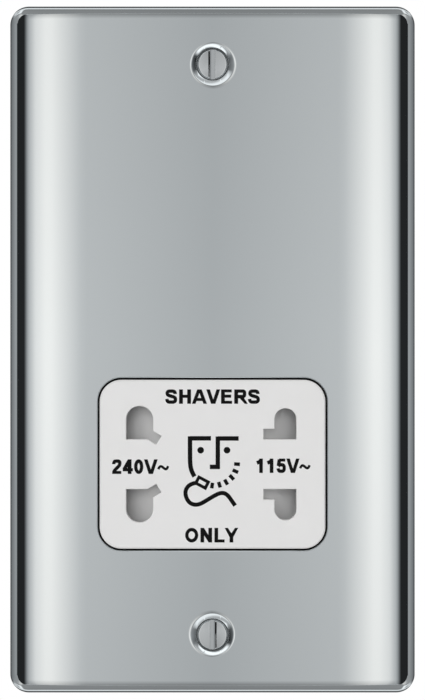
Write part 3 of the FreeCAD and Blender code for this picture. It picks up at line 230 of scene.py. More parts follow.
def shade(piece, angle=35):
    """Smooth shading that breaks where faces meet at more than an angle."""
    piece.data.shade_smooth()
    piece.data.set_sharp_from_angle(angle=math.radians(angle))


def bowed(radius, first, last, count):
    """Steps inwards and downwards along a bow whose slope goes from one angle to another."""
    turns = [math.radians(first + (last - first) * i / count) for i in range(count + 1)]
    return [(abs(radius * (math.sin(b) - math.sin(a))), -abs(radius * (math.cos(b) - math.cos(a))))
            for a, b in zip(turns, turns[1:])]


SEAT_LEVEL, SEAT_RADIUS, SEAT_HOLE, SEAT_EDGE, SEAT_SLOPE = 4.8, 3.5, 2.0, 0.1, 88.0
DISH_BOW, DISH_SLOPE, DISH_WALL, DISH_SHIFT, BACK_RIM = 1.4, 30.0, 0.8, (0.15, -0.32), 6.3
front_dish = rolled(DISH_BOW, math.radians(DISH_SLOPE), 12)
front_dish.append((DISH_WALL, -DISH_WALL * math.tan(math.radians(DISH_SLOPE))))
front_dish += bowed(SEAT_EDGE, DISH_SLOPE, SEAT_SLOPE, 4)
dish_rim = SEAT_RADIUS + sum(inwards for inwards, up in front_dish)
front_dish += [(CLOSE, SEAT_LEVEL - CROWN_LEVEL - sum(up for inwards, up in front_dish)),
               (SEAT_RADIUS - SEAT_HOLE, 0)]
back_seat = SEAT_RADIUS + SHEET / 2
back_dish = [(BACK_RIM - back_seat, SEAT_LEVEL - CROWN_LEVEL), (back_seat - SEAT_HOLE, 0)]

LIP_EDGE, LIP_EDGE_SLOPE, LIP_INNER_SLOPE, LIP_WIDTH, LIP_UNDER = 0.35, 28.5, 21.5, 1.55, 0.02
END_EDGE, END_EDGE_SLOPE, END_INNER_SLOPE, END_WIDTH, CORNER_PULL = 1.05, 20.0, 14.0, 1.96, 0.35


def lip_profile(edge, edge_slope, inner_slope, width):
    """Steps inwards and upwards over the lip: its rolled edge, then a slow bow up to the dome's foot."""
    steps = bowed(edge, 90.0, edge_slope, 10)
    left = width - sum(inwards for inwards, up in steps)
    bow = left / (math.sin(math.radians(edge_slope)) - math.sin(math.radians(inner_slope)))
    return [(inwards, -up) for inwards, up in steps + bowed(bow, edge_slope, inner_slope, 8)]


lip_steps = lip_profile(LIP_EDGE, LIP_EDGE_SLOPE, LIP_INNER_SLOPE, LIP_WIDTH)
end_steps = lip_profile(END_EDGE, END_EDGE_SLOPE, END_INNER_SLOPE, END_WIDTH)
OPENING_EDGE, OPENING_BEVEL, OPENING_SLOPE = 0.05, 0.15, 32.0
opening_steps = bowed(OPENING_EDGE, 0.0, OPENING_SLOPE, 3)
opening_steps.append((OPENING_BEVEL, -OPENING_BEVEL * math.tan(math.radians(OPENING_SLOPE))))
opening_steps += bowed(OPENING_EDGE, OPENING_SLOPE, 90.0, 4)

plate_mesh = bmesh.new()
front_foot = pressed_skin(plate_mesh, DOME_SIDE, DOME_END, DOME_CORNER, 0.0, LIP_LEVEL, opening_steps,
                          front_dish, dish_rim, DISH_SHIFT)
rim_level = LIP_LEVEL - LIP_UNDER - sum(up for inwards, up in lip_steps)
known = set(plate_mesh.verts)
rim_face = rounded_face(plate_mesh, PLATE_SIDE, PLATE_END, PLATE_CORNER, rim_level, segments=24)
outer_edges, lip_edges = step_in(plate_mesh, rim_face, lip_steps)
rings = [(rim_level, 0.0, LIP_LEVEL - LIP_UNDER - sum(up for inwards, up in end_steps))]
for (inwards, up), (end_inwards, end_up) in zip(lip_steps, end_steps):
    level, further, end_level = rings[-1]
    rings.append((level + up, further + end_inwards - inwards, end_level + end_up))
for vert in set(plate_mesh.verts) - known:
    level, further, end_level = min(rings, key=lambda ring: abs(ring[0] - vert.co.z))
    turn = math.atan2(max(0.0, abs(vert.co.y) - PLATE_END + PLATE_CORNER),
                      max(0.0, abs(vert.co.x) - PLATE_SIDE + PLATE_CORNER))
    share = math.sin(turn) ** 2
    pull = CORNER_PULL * (level - rim_level) / (LIP_LEVEL - rim_level) * math.sin(2 * turn) ** 2
    inwards = further * share - pull
    vert.co.x -= math.copysign(inwards * math.cos(turn), vert.co.x)
    vert.co.y -= math.copysign(inwards * math.sin(turn), vert.co.y)
    vert.co.z += (end_level - level) * share
bmesh.ops.triangle_fill(plate_mesh, use_beauty=True, edges=lip_edges + front_foot, normal=(0, 0, 1))
lip_back = drop_edges(plate_mesh, outer_edges, 0.0)
foot_centre, _, foot_radius, foot_end = BOWS[-1]
inner_side = foot_centre + (foot_radius - SHEET) * (foot_end - foot_centre) / foot_radius
back_foot = pressed_skin(plate_mesh, inner_side, DOME_END - SHEET, DOME_CORNER / 2, SHEET, 0.0, [], back_dish,
                         BACK_RIM, (0, 0))
bmesh.ops.triangle_fill(plate_mesh, use_beauty=True, edges=lip_back + back_foot, normal=(0, 0, -1))
bmesh.ops.remove_doubles(plate_mesh, verts=plate_mesh.verts, dist=NEAR)
for middle, side_reach, end_reach in HOLE_ROOM:
    bmesh.ops.bridge_loops(plate_mesh, edges=[e for e in plate_mesh.edges if e.is_boundary and all(
        abs(v.co.x) < side_reach and abs(v.co.y - middle) < end_reach for v in e.verts)])
plate = stand_up(plate_mesh, "pressed_plate")
shade(plate)
SAME_LEVEL, SAME_FACING = 2e-3, 0.94
sheen = [Vector(n.vector) for n in plate.data.corner_normals]
for polygon in plate.data.polygons:
    corners = [plate.data.vertices[v].co / MM for v in polygon.vertices]
    facings, on_crown = [], []
    for x, y, z in corners:
        level, tilt = arch(x)
        fall, end_tilt = end_fall(z)
        end_lean = math.copysign(math.tan(end_tilt) * height_share(x), z)
        facings.append(Vector((math.tan(tilt), -1, end_lean)).normalized())
        on_crown.append(abs(level - fall * height_share(x) + y) < SAME_LEVEL and abs(x) < DOME_SIDE + CLOSE)
    for corner, facing, lies in zip(polygon.loop_indices, facings, on_crown):
        if all(on_crown) or (lies and polygon.normal.dot(facing) > SAME_FACING):
            sheen[corner] = facing
plate.data.normals_split_custom_set(sheen)
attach(plate, "unit")
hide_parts("front_plate")


def wear_group():
    """Slow cloud and fine grain over a surface, as two masks from 0 to 1."""
    group = bpy.data.node_groups.new("Cloud_And_Grain", "ShaderNodeTree")
    for socket, direction, kind in (("Cloud Scale", "INPUT", "NodeSocketFloat"),
                                    ("Grain Scale", "INPUT", "NodeSocketFloat"),
                                    ("Stretch", "INPUT", "NodeSocketVector"),
                                    ("Cloud", "OUTPUT", "NodeSocketFloat"),
                                    ("Grain", "OUTPUT", "NodeSocketFloat")):
        group.interface.new_socket(name=socket, in_out=direction, socket_type=kind)
    inlet = group.nodes.new("NodeGroupInput")
    outlet = group.nodes.new("NodeGroupOutput")
    place = group.nodes.new("ShaderNodeTexCoord")
    stretch = group.nodes.new("ShaderNodeVectorMath")
    stretch.operation = "MULTIPLY"
    group.links.new(place.outputs["Object"], stretch.inputs[0])
    group.links.new(inlet.outputs["Stretch"], stretch.inputs[1])
    for scale, mask, detail in (("Cloud Scale", "Cloud", 3.0), ("Grain Scale", "Grain", 5.0)):
        noise = group.nodes.new("ShaderNodeTexNoise")
        noise.inputs["Detail"].default_value = detail
        group.links.new(stretch.outputs["Vector"], noise.inputs["Vector"])
        group.links.new(inlet.outputs[scale], noise.inputs["Scale"])
        group.links.new(noise.outputs["Fac"], outlet.inputs[mask])
    return group


CLOUD_AND_GRAIN = wear_group()


def finish_material(name, colour, shift, metallic, roughness, cloud, grain, stretch=(1, 1, 1), bump=0.1,
                    depth=0.02 * MM, specular=0.5):
    """Surface whose colour and roughness drift with the cloud mask and whose grain stands up as bump."""
    made = bpy.data.materials.new(name)
    made.use_nodes = True
    tree = made.node_tree
    shader = tree.nodes["Principled BSDF"]
    shader.inputs["Metallic"].default_value = metallic
    shader.inputs["Specular IOR Level"].default_value = specular
    masks = tree.nodes.new("ShaderNodeGroup")
    masks.node_tree = CLOUD_AND_GRAIN
    masks.inputs["Cloud Scale"].default_value = cloud
    masks.inputs["Grain Scale"].default_value = grain
    masks.inputs["Stretch"].default_value = stretch
    tint = tree.nodes.new("ShaderNodeMix")
    tint.data_type = "RGBA"
    tint.inputs["A"].default_value = (*[c * (1 - shift) for c in colour], 1)
    tint.inputs["B"].default_value = (*[min(1.0, c * (1 + shift)) for c in colour], 1)
    tree.links.new(masks.outputs["Cloud"], tint.inputs["Factor"])
    tree.links.new(tint.outputs["Result"], shader.inputs["Base Color"])
    spread = tree.nodes.new("ShaderNodeMapRange")
    spread.inputs["To Min"].default_value, spread.inputs["To Max"].default_value = roughness
    tree.links.new(masks.outputs["Grain"], spread.inputs["Value"])
    tree.links.new(spread.outputs["Result"], shader.inputs["Roughness"])
    relief = tree.nodes.new("ShaderNodeBump")
    relief.inputs["Strength"].default_value = bump
    relief.inputs["Distance"].default_value = depth
    tree.links.new(masks.outputs["Grain"], relief.inputs["Height"])
    tree.links.new(relief.outputs["Normal"], shader.inputs["Normal"])
    return made


def dress(piece, material):
    """Gives a piece one material all over."""
    piece.data.materials.clear()
    piece.data.materials.append(material)


bright_chrome = finish_material("bright_chrome", (0.825, 0.88, 0.905), 0.006, 1.0, (0.03, 0.05), 60, 900,
                                bump=0.02, depth=0.002 * MM)
dress(plate, bright_chrome)
dress(nodes["front_plate"], bright_chrome)


# Socket face: white moulding that stands just proud of the plate, with a hidden flange behind it and
# two pairs of plug slots whose edges are slightly rounded by the mould.
FACE_SIDE, FACE_END, FACE_CORNER, FACE_FRONT, FACE_ROUND = 23.8, 17.8, 4.6, 6.95, 0.25
FLANGE_SIDE, FLANGE_END, FLANGE_FRONT, FLANGE_BACK = 26.8, 20.8, 4.9, 3.3
SLOT_ROUND, SLOT_240_END, SLOT_115_END, END_SHARE, END_MERGE = 0.25, 2.81, 2.28, 0.999, 0.02
SLOT_240 = ((-18.21, 5.26), (-13.702, 5.26), (-11.901, 4.178), (-10.841, 5.944), (-12.59, 6.995),
            (-12.59, 12.26), (-18.21, 12.26))
SLOT_115 = ((10.8, 5.26), (17.68, 5.26), (17.68, 11.79), (13.12, 11.79), (13.12, 7.44), (10.8, 7.44))


def grown(outline, by):
    """An outline of straight runs moved outwards all round."""
    moved = []
    for i, (x, y) in enumerate(outline):
        before = Vector((x, y)) - Vector(outline[i - 1])
        after = Vector(outline[(i + 1) % len(outline)]) - Vector((x, y))
        out_1, out_2 = [Vector((run.y, -run.x)).normalized() for run in (before, after)]
        moved.append(Vector((x, y)) + (out_1 + out_2) * by / (1 + out_1.dot(out_2)))
    return moved


face_mesh = bmesh.new()
rim_face = rounded_face(face_mesh, FACE_SIDE, FACE_END, FACE_CORNER, FACE_FRONT - FACE_ROUND, OPENING_MIDDLE)
rim_steps = [(-up, inwards) for inwards, up in reversed(rolled(FACE_ROUND, math.pi / 2, 6))]
outer_edges, front_edges = step_in(face_mesh, rim_face, rim_steps)
back_edges = []
for outline, radius in ((SLOT_240, SLOT_240_END), (SLOT_115, SLOT_115_END)):
    outline, radius = grown(outline, SLOT_ROUND), radius + SLOT_ROUND
    reach = max(y for x, y in outline)
    for end in (1, -1):
        corners = [face_mesh.verts.new((x, OPENING_MIDDLE + end * y, FACE_FRONT)) for x, y in outline]
        known = set(face_mesh.faces)
        face_mesh.faces.new(corners if end > 0 else corners[::-1])
        round_end = [v for v in corners if abs(abs(v.co.y - OPENING_MIDDLE) - reach) < NEAR]
        made = bmesh.ops.bevel(face_mesh, geom=round_end, offset=radius * END_SHARE, offset_type="OFFSET",
                               affect="VERTICES", segments=14, profile=0.5, material=-1)["verts"]
        bmesh.ops.remove_doubles(face_mesh, verts=made, dist=END_MERGE)
        slot_face = next(f for f in face_mesh.faces if f not in known)
        mouth, neck = step_in(face_mesh, slot_face, rolled(SLOT_ROUND, math.pi / 2, 5))
        front_edges += mouth
        back_edges += drop_edges(face_mesh, neck, FLANGE_BACK)
bmesh.ops.triangle_fill(face_mesh, use_beauty=True, edges=front_edges, normal=(0, 0, 1))
wall_foot = drop_edges(face_mesh, outer_edges, FLANGE_FRONT)
flange = bmesh.ops.create_grid(face_mesh, x_segments=1, y_segments=1, size=0.5)["verts"]
bmesh.ops.scale(face_mesh, verts=flange, vec=(2 * FLANGE_SIDE, 2 * FLANGE_END, 1))
bmesh.ops.translate(face_mesh, verts=flange, vec=(0, OPENING_MIDDLE, FLANGE_FRONT))
flange_edges = open_loop(face_mesh, flange[0].link_faces[0])
bmesh.ops.triangle_fill(face_mesh, use_beauty=True, edges=wall_foot + flange_edges, normal=(0, 0, 1))
back_edges += drop_edges(face_mesh, flange_edges, FLANGE_BACK)
bmesh.ops.triangle_fill(face_mesh, use_beauty=True, edges=back_edges, normal=(0, 0, -1))
face = stand_up(face_mesh, "face_moulding")
shade(face)
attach(face, "unit")
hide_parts("socket_face")
white_moulding = finish_material("white_moulding", (0.80, 0.80, 0.80), 0.01, 0.0, (0.28, 0.36), 90, 2600,
                                 bump=0.05, depth=0.01 * MM)
dress(face, white_moulding)
dress(nodes["socket_face"], white_moulding)


# Gap shade: black ring that lies on the socket face's hidden flange, under the edge of the plate's
# opening, and closes the gap round the face; its black is painted shade in that gap.
SHADE_RING_SIDE, SHADE_RING_END, SHADE_RING_CORNER, SHADE_RING_TOP = 26.2, 20.2, 2.0, 5.1
shade_ring_mesh = bmesh.new()
shade_ring_edges = []
for side, end, corner in ((SHADE_RING_SIDE, SHADE_RING_END, SHADE_RING_CORNER), (FACE_SIDE, FACE_END, FACE_CORNER)):
    shade_ring_edges += open_loop(shade_ring_mesh, rounded_face(shade_ring_mesh, side, end, corner, SHADE_RING_TOP, OPENING_MIDDLE))
bmesh.ops.triangle_fill(shade_ring_mesh, use_beauty=True, edges=shade_ring_edges, normal=(0, 0, 1))
shade_ring_foot = drop_edges(shade_ring_mesh, shade_ring_edges, FLANGE_FRONT)
bmesh.ops.triangle_fill(shade_ring_mesh, use_beauty=True, edges=shade_ring_foot, normal=(0, 0, -1))
gap_shade_ring = stand_up(shade_ring_mesh, "painted_gap_shade")
# Black all over: painted shade in the gap round the face.
painted_gap_black = finish_material("painted_gap_black", (0.012, 0.012, 0.012), 0.1, 0.0, (0.7, 0.85), 150, 2500,
                               specular=0.1)
dress(gap_shade_ring, painted_gap_black)
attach(gap_shade_ring, "unit")


# Print on the socket face: black pad-printed voltages, words and the standard sign for a shaver outlet,
# each a layer of ink a fiftieth of a millimetre thick.
INK = 0.02
ink_black = finish_material("ink_black", (0.006, 0.006, 0.006), 0.1, 0.0, (0.5, 0.65), 200, 4000,
                            specular=0.08)


def ink_piece(name, source, fit=None, head_line=None):
    """Makes a drawing a mesh, cuts letters level, fits it to its box and lays it on the face."""
    bpy.context.scene.collection.objects.link(source)
    bpy.context.view_layer.update()
    mesh = bpy.data.meshes.new_from_object(source.evaluated_get(bpy.context.evaluated_depsgraph_get()))
    bpy.data.objects.remove(source)
    for vert in mesh.vertices if head_line else ():
        vert.co.y = max(0.0, min(head_line, vert.co.y))
    low = Vector([min(v.co[i] for v in mesh.vertices) for i in range(3)])
    high = Vector([max(v.co[i] for v in mesh.vertices) for i in range(3)])
    left, right, foot, head = fit or (low.x, high.x, low.y, high.y)
    mesh.transform(Matrix.Translation(-low))
    mesh.transform(Matrix.Diagonal(((right - left) / (high.x - low.x), (head - foot) / (high.y - low.y),
                                    INK / (high.z - low.z), 1)))
    mesh.transform(Matrix.Translation((left, foot, FACE_FRONT)))
    mesh.transform(Matrix.Rotation(math.pi / 2, 4, "X") @ Matrix.Scale(MM, 4))
    mesh.name = name
    piece = bpy.data.objects.new(name, mesh)
    bpy.context.scene.collection.objects.link(piece)
    dress(piece, ink_black)
    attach(piece, "unit")


def add_line(curve, kind, closed, points, across=0.0, weight=1.0):
    """One stroke of a printed sign or letter, straight or flowing."""
    line = curve.splines.new(kind)
    line.points.add(len(points) - 1)
    for point, (x, y) in zip(line.points, points):
        point.co = (across + x, y, 0, 1)
        point.radius = weight
    line.use_cyclic_u = closed
    if kind == "NURBS":
        line.order_u = 4
        line.use_endpoint_u = not closed


def ink_curve(stroke):
    """An empty drawing whose lines are all as wide as one stroke."""
    curve = bpy.data.curves.new("print_strokes", "CURVE")
    curve.dimensions = "3D"
    curve.bevel_depth = stroke / 2
    curve.bevel_resolution = 2
    curve.use_fill_caps = True
    return curve


LETTER_HEIGHT, LETTER_STROKE, OVAL_REACH = 100, 27, 42.5


def oval(middle, side):
    """Eight points whose flowing line is an upright oval as tall as the letters."""
    turns = [i * math.pi / 4 for i in range(8)]
    return [(middle + side * math.cos(turn), LETTER_HEIGHT / 2 + OVAL_REACH * math.sin(turn))
            for turn in turns]


LEVEL_WEIGHT, FLOWING_WEIGHT, WAVE_WEIGHT = 0.8, 0.9, 0.66
LETTERS = {
    "S": (93, [((74, 68), (73, 83), (60, 88.5), (46, 88.5), (27, 88.5), (17, 80), (18, 63), (34, 56),
                (52, 51), (71, 46), (77, 33), (75, 17), (61, 11.5), (46, 11.5), (28, 11.5), (17, 17.5),
                (15, 34))]),
    "H": (101, [((22, 0), (22, 100)), ((79, 0), (79, 100)), ((22, 52), (79, 52))]),
    "A": (101, [((10, -5), (47.5, 105)), ((91, -5), (53.5, 105)), ((24, 30), (77, 30))]),
    "V": (93, [((10.5, 105), (44, -5)), ((82.5, 105), (49, -5))]),
    "E": (93, [((22, 0), (22, 100)), ((22, 90), (84, 90)), ((22, 53), (80, 53)), ((22, 10), (86, 10))]),
    "R": (101, [((22, 0), (22, 100)), ((22, 89), (54, 89), (70, 89), (81, 85), (81, 69.5), (81, 54), (70, 50),
                                       (54, 50), (22, 50)), ((54, 50), (93, -8))]),
    "O": (109, [oval(54, 39)]),
    "N": (101, [((22, 0), (22, 100)), ((79, 0), (79, 100)), ((24, 90), (77, 10))]),
    "L": (85, [((22, 0), (22, 100)), ((22, 10), (82, 10))]),
    "Y": (93, [((46.5, 0), (46.5, 45)), ((46.5, 40), (9, 107)), ((46.5, 40), (84, 107))]),
    "0": (78, [oval(38.5, 23)]),
    "1": (78, [((45, 0), (45, 100)), ((45, 89), (33, 77), (14, 69))]),
    "2": (78, [((17, 67), (18, 83), (28, 88), (39, 88), (53, 88), (61, 81), (60, 69), (58, 58), (44, 45),
                (31, 33), (20, 21), (18, 11)), ((6, 10), (71, 10))]),
    "4": (78, [((52, 0), (52, 100)), ((50, 92), (13, 31)), ((3, 29), (75, 29))]),
    "5": (78, [((22, 90), (68, 90)), ((25, 94), (18, 48)),
               ((16, 47), (25, 56), (36, 57), (51, 57), (60, 48), (60, 34), (60, 20), (51, 12), (37, 12),
                (25, 12), (17, 19), (15, 32))]),
    "~": (82, [((7, 32), (14, 51), (28, 55), (42, 43), (56, 31), (69, 34), (76, 54))]),
}
STRAIGHT, ROUND_LETTERS = 3, "O0"
for name, words, fit in (
    ("print_use", "SHAVERS", (-10.0, 10.0, -11.45, -8.41)),
    ("print_limit", "ONLY", (-5.77, 5.43, -40.70, -37.62)),
    ("print_240", "240V~", (-21.2, -9.12, -26.25, -23.17)),
    ("print_115", "115V~", (9.2, 20.71, -26.04, -23.0)),
):
    word = ink_curve(LETTER_STROKE)
    across = 0.0
    for letter in words:
        advance, lines = LETTERS[letter]
        for points in lines:
            flowing = len(points) > STRAIGHT
            weight = FLOWING_WEIGHT if flowing else LEVEL_WEIGHT if points[0][1] == points[-1][1] else 1.0
            add_line(word, "NURBS" if flowing else "POLY", letter in ROUND_LETTERS, points, across,
                     WAVE_WEIGHT if letter == "~" else weight)
        across += advance
    ink_piece(name, bpy.data.objects.new(name, word), fit, LETTER_HEIGHT)

SIGN_STROKES = (
    (0.95, False, "POLY", ((-0.32, -18.73), (-4.75, -18.73))),
    (0.95, False, "NURBS", ((-4.75, -18.3), (-4.75, -22.6), (-4.75, -24.9), (-4.3, -25.9), (-3.8, -26.8))),
    (0.95, False, "POLY", ((5.52, -18.76), (1.12, -18.76))),
    (0.95, False, "POLY", ((1.12, -18.33), (1.12, -25.18))),
    (0.95, False, "POLY", ((1.5, -24.76), (-0.57, -24.76))),
    (0.95, True, "POLY", ((-1.52, -29.24), (-0.88, -27.97), (-2.86, -26.92), (-3.52, -28.18))),
    (0.76, False, "POLY", ((0.0, -28.1), (-0.17, -29.28))),
    (0.76, False, "POLY", ((1.29, -27.93), (1.63, -29.11))),
    (0.76, False, "POLY", ((2.55, -27.42), (3.18, -28.52))),
    (0.76, False, "POLY", ((3.61, -26.5), (4.5, -27.46))),
    (0.76, False, "POLY", ((4.24, -25.4), (5.41, -25.93))),
    (0.76, False, "POLY", ((4.56, -24.13), (5.79, -24.21))),
    (0.88, False, "NURBS", ((-3.4, -28.15), (-4.3, -28.2), (-5.6, -29.0), (-5.85, -30.7), (-4.9, -32.6),
                           (-3.0, -32.9), (-1.4, -31.9), (0.6, -30.7), (1.9, -30.1), (3.2, -30.5),
                           (3.9, -31.7), (4.78, -32.93))),
)
EYES = ((-2.5, -21.24), (3.06, -21.24))
EYE_RADIUS = 0.7
for number, (stroke, closed, kind, points) in enumerate(SIGN_STROKES, 1):
    sign = ink_curve(stroke)
    add_line(sign, kind, closed, points)
    ink_piece(f"print_sign_{number}", bpy.data.objects.new("print_sign", sign))
for number, (x, z) in enumerate(EYES, 1):
    dot = bmesh.new()
    disc = bmesh.ops.create_circle(dot, cap_ends=True, segments=32, radius=EYE_RADIUS,
                                   matrix=Matrix.Translation((x, z, FACE_FRONT)))["verts"]
    bmesh.ops.holes_fill(dot, edges=drop_edges(dot, list(dot.edges), FACE_FRONT), sides=0)
    bmesh.ops.translate(dot, verts=disc, vec=(0, 0, INK))
    eye = stand_up(dot, f"print_dot_{number}")
    dress(eye, ink_black)
    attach(eye, "unit")


# Fixing screws: two slotted machine screws of plated steel; the cheese heads sit in the plate's dishes and
# the threads run out behind it into the wall box.
HEAD_RADIUS, HEAD_TOP, HEAD_FOOT, HEAD_EDGE = 3.1, 5.95, 4.8, 0.3
SLOT_HALF, SLOT_FLOOR, SLOT_WORN, SLOT_EDGE, OVERLAP = 0.47, 5.4, 0.11, 0.085, 0.1
CORE_RADIUS, THREAD_RADIUS, THREAD_PITCH, THREAD_START, THREAD_END = 1.42, 1.75, 0.6, -0.9, -19.0
TIP_LEVEL, TURN_STEPS = -19.6, 24
THREAD_FOOT, THREAD_ROOT, THREAD_CREST = CORE_RADIUS - 0.05, THREAD_PITCH * 0.42, THREAD_PITCH * 0.06
screw_mesh = bmesh.new()
for height in (SCREW_HEIGHT, -SCREW_HEIGHT):
    here = Matrix.Translation((0, height, 0))
    for side in (1, -1):
        half = bmesh.new()
        bmesh.ops.create_circle(half, cap_ends=True, segments=96, radius=HEAD_RADIUS,
                                matrix=Matrix.Translation((0, 0, HEAD_TOP)))
        bmesh.ops.bisect_plane(half, geom=[*half.verts, *half.edges, *half.faces],
                               plane_co=(side * SLOT_HALF, 0, 0), plane_no=(side, 0, 0), clear_inner=True)
        top_edges = [e for e in half.edges if e.is_boundary]
        drop_edges(half, top_edges, SLOT_FLOOR - OVERLAP)
        slot_edges = [e for e in top_edges if all(abs(abs(v.co.x) - SLOT_HALF) < NEAR for v in e.verts)]
        bmesh.ops.bevel(half, geom=slot_edges, offset=SLOT_WORN if side * height < 0 else SLOT_EDGE,
                        offset_type="OFFSET", affect="EDGES", segments=3, profile=0.5, material=-1)
        rim_edges = [e for e in half.edges if not e.is_boundary and all(
            v.co.z > HEAD_TOP - CLOSE and v.co.xy.length > HEAD_RADIUS - CLOSE for v in e.verts)]
        bmesh.ops.bevel(half, geom=rim_edges, offset=HEAD_EDGE, offset_type="OFFSET", affect="EDGES",
                        segments=5, profile=0.5, material=-1)
        bmesh.ops.holes_fill(half, edges=[e for e in half.edges if e.is_boundary], sides=0)
        bmesh.ops.translate(half, verts=half.verts, vec=(0, height, 0))
        moon = bpy.data.meshes.new("half_head")
        half.to_mesh(moon)
        half.free()
        screw_mesh.from_mesh(moon)
        bpy.data.meshes.remove(moon)
    for radius, top, foot in ((HEAD_RADIUS, SLOT_FLOOR, HEAD_FOOT),
                              (CORE_RADIUS, HEAD_FOOT + OVERLAP, TIP_LEVEL)):
        bmesh.ops.create_cone(screw_mesh, cap_ends=True, segments=64, radius1=radius, radius2=radius,
                              depth=top - foot, matrix=here @ Matrix.Translation((0, 0, (top + foot) / 2)))
    ridge = [screw_mesh.verts.new((radius, height, THREAD_START + up)) for radius, up in (
        (THREAD_FOOT, THREAD_ROOT), (THREAD_RADIUS, THREAD_CREST),
        (THREAD_RADIUS, -THREAD_CREST), (THREAD_FOOT, -THREAD_ROOT))]
    end_face = screw_mesh.faces.new(ridge)
    turns = int((THREAD_START - THREAD_END) / THREAD_PITCH)
    bmesh.ops.spin(screw_mesh, geom=[end_face], axis=(0, 0, 1), cent=(0, height, 0),
                   angle=2 * math.pi * turns, steps=TURN_STEPS * turns,
                   dvec=(0, 0, -THREAD_PITCH / TURN_STEPS))
screws = stand_up(screw_mesh, "slotted_screws")
shade(screws)
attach(screws, "unit")
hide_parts("fixing_screws")
screw_plating = finish_material("screw_plating", (0.80, 0.84, 0.86), 0.02, 1.0, (0.05, 0.12), 300, 2500,
                                bump=0.06, depth=0.004 * MM)
dress(screws, screw_plating)
dress(nodes["fixing_screws"], screw_plating)


# Head shade rings: two flat dark grey rings, one under each screw, that lie on the floor of the dish and
# fill it between the screw's head and the dish's wall; their dark grey is painted shade round each head.
RING_HEIGHT, RING_TO_DISH, RING_TO_HEAD = 0.15, 0.02, 0.06
ring_mesh = bmesh.new()
for height in (SCREW_HEIGHT, -SCREW_HEIGHT):
    made = bmesh.ops.create_circle(ring_mesh, cap_ends=True, segments=96, radius=SEAT_RADIUS - RING_TO_DISH,
                                   matrix=Matrix.Translation((0, height, HEAD_FOOT + RING_HEIGHT)))["verts"]
    ring_width = SEAT_RADIUS - RING_TO_DISH - HEAD_RADIUS - RING_TO_HEAD
    outer, inner = step_in(ring_mesh, made[0].link_faces[0], [(ring_width, 0)])
    foot = drop_edges(ring_mesh, outer + inner, HEAD_FOOT)
    bmesh.ops.triangle_fill(ring_mesh, use_beauty=True, edges=foot, normal=(0, 0, -1))
rings_piece = stand_up(ring_mesh, "head_shade_rings")
# Dark grey all over: painted shade round each screw head.
head_shade_grey = finish_material("head_shade_grey", (0.13, 0.14, 0.145), 0.08, 0.0, (0.5, 0.65), 300, 3000)
dress(rings_piece, head_shade_grey)
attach(rings_piece, "unit")


# Shutter springs: two folded strips of spring steel, one each side of the shutter, that stand against the
# end walls of its tray; the copies keep one fixed shape, though the real ones close up there as it slides.
spring_strip = finish_material("spring_strip", (0.60, 0.61, 0.62), 0.04, 1.0, (0.2, 0.32), 120, 2500)
for node_name, name, side in (("shutter_spring_left", "folded_spring_left", -1),
                              ("shutter_spring_right", "folded_spring_right", 1)):
    folds = bmesh.new()
    folds.from_mesh(nodes[node_name].data)
    bmesh.ops.remove_doubles(folds, verts=folds.verts, dist=0.001 * MM)
    bmesh.ops.transform(folds, matrix=nodes[node_name].matrix_world, verts=folds.verts)
    strip_mesh = bpy.data.meshes.new(name)
    folds.to_mesh(strip_mesh)
    folds.free()
    strip = bpy.data.objects.new(name, strip_mesh)
    bpy.context.scene.collection.objects.link(strip)
    dress(strip, spring_strip)
    dress(nodes[node_name], spring_strip)
    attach(strip, "unit")
    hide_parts(node_name)
    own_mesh(strip)


# Inner pieces, as seen when the unit is taken apart, each in its own plain finish; the core
# shows the edges of its sheets and the windings their turns.
PLAIN = {"shift": 0.04, "cloud": 120, "grain": 2500}
LAYERED = {"shift": 0.25, "cloud": 900, "grain": 2500, "bump": 0.6, "depth": 0.1 * MM}
for name, colour, metallic, roughness, look, members in (
    ("plated_screw", (0.80, 0.81, 0.82), 1.0, (0.08, 0.16), PLAIN, ("housing_screws", "terminal_screws")),
    ("grey_shutter", (0.84, 0.84, 0.84), 0.0, (0.45, 0.6), PLAIN, ("shutter_slide",)),
    ("off_white_moulding", (0.78, 0.78, 0.75), 0.0, (0.4, 0.55), PLAIN, ("plate_liner", "rear_housing")),
    ("dark_moulding", (0.12, 0.12, 0.13), 0.0, (0.4, 0.55), PLAIN, ("contact_carrier",)),
    ("brass_strip", (0.80, 0.60, 0.28), 1.0, (0.18, 0.3), PLAIN, (
        "switch_bridge", "contact_240", "contact_115", "contact_common", "switch_line_strip",
        "switch_load_strip", "earth_strap", "terminal_live", "terminal_neutral", "terminal_earth")),
    ("core_steel", (0.30, 0.31, 0.33), 1.0, (0.35, 0.5), {**LAYERED, "stretch": (0.02, 1, 0.02)},
     ("core_laminations",)),
    ("nylon", (0.76, 0.73, 0.62), 0.0, (0.35, 0.5), PLAIN, ("coil_bobbin",)),
    ("copper_winding", (0.68, 0.33, 0.14), 1.0, (0.25, 0.4), {**LAYERED, "stretch": (0.02, 0.02, 1)},
     ("primary_winding", "secondary_winding")),
    ("phenolic", (0.03, 0.03, 0.03), 0.0, (0.3, 0.45), PLAIN, ("thermal_cutout",)),
    ("brown_wire", (0.22, 0.10, 0.04), 0.0, (0.35, 0.5), PLAIN, ("lead_live", "lead_switched")),
    ("blue_wire", (0.04, 0.14, 0.42), 0.0, (0.35, 0.5), PLAIN, ("lead_neutral",)),
    ("red_wire", (0.48, 0.04, 0.03), 0.0, (0.35, 0.5), PLAIN, ("lead_240", "lead_115")),
    ("black_wire", (0.02, 0.02, 0.02), 0.0, (0.35, 0.5), PLAIN, ("lead_common",)),
):
    material = finish_material(name, colour, metallic=metallic, roughness=roughness, **look)
    for member in members:
        dress(nodes[member], material)


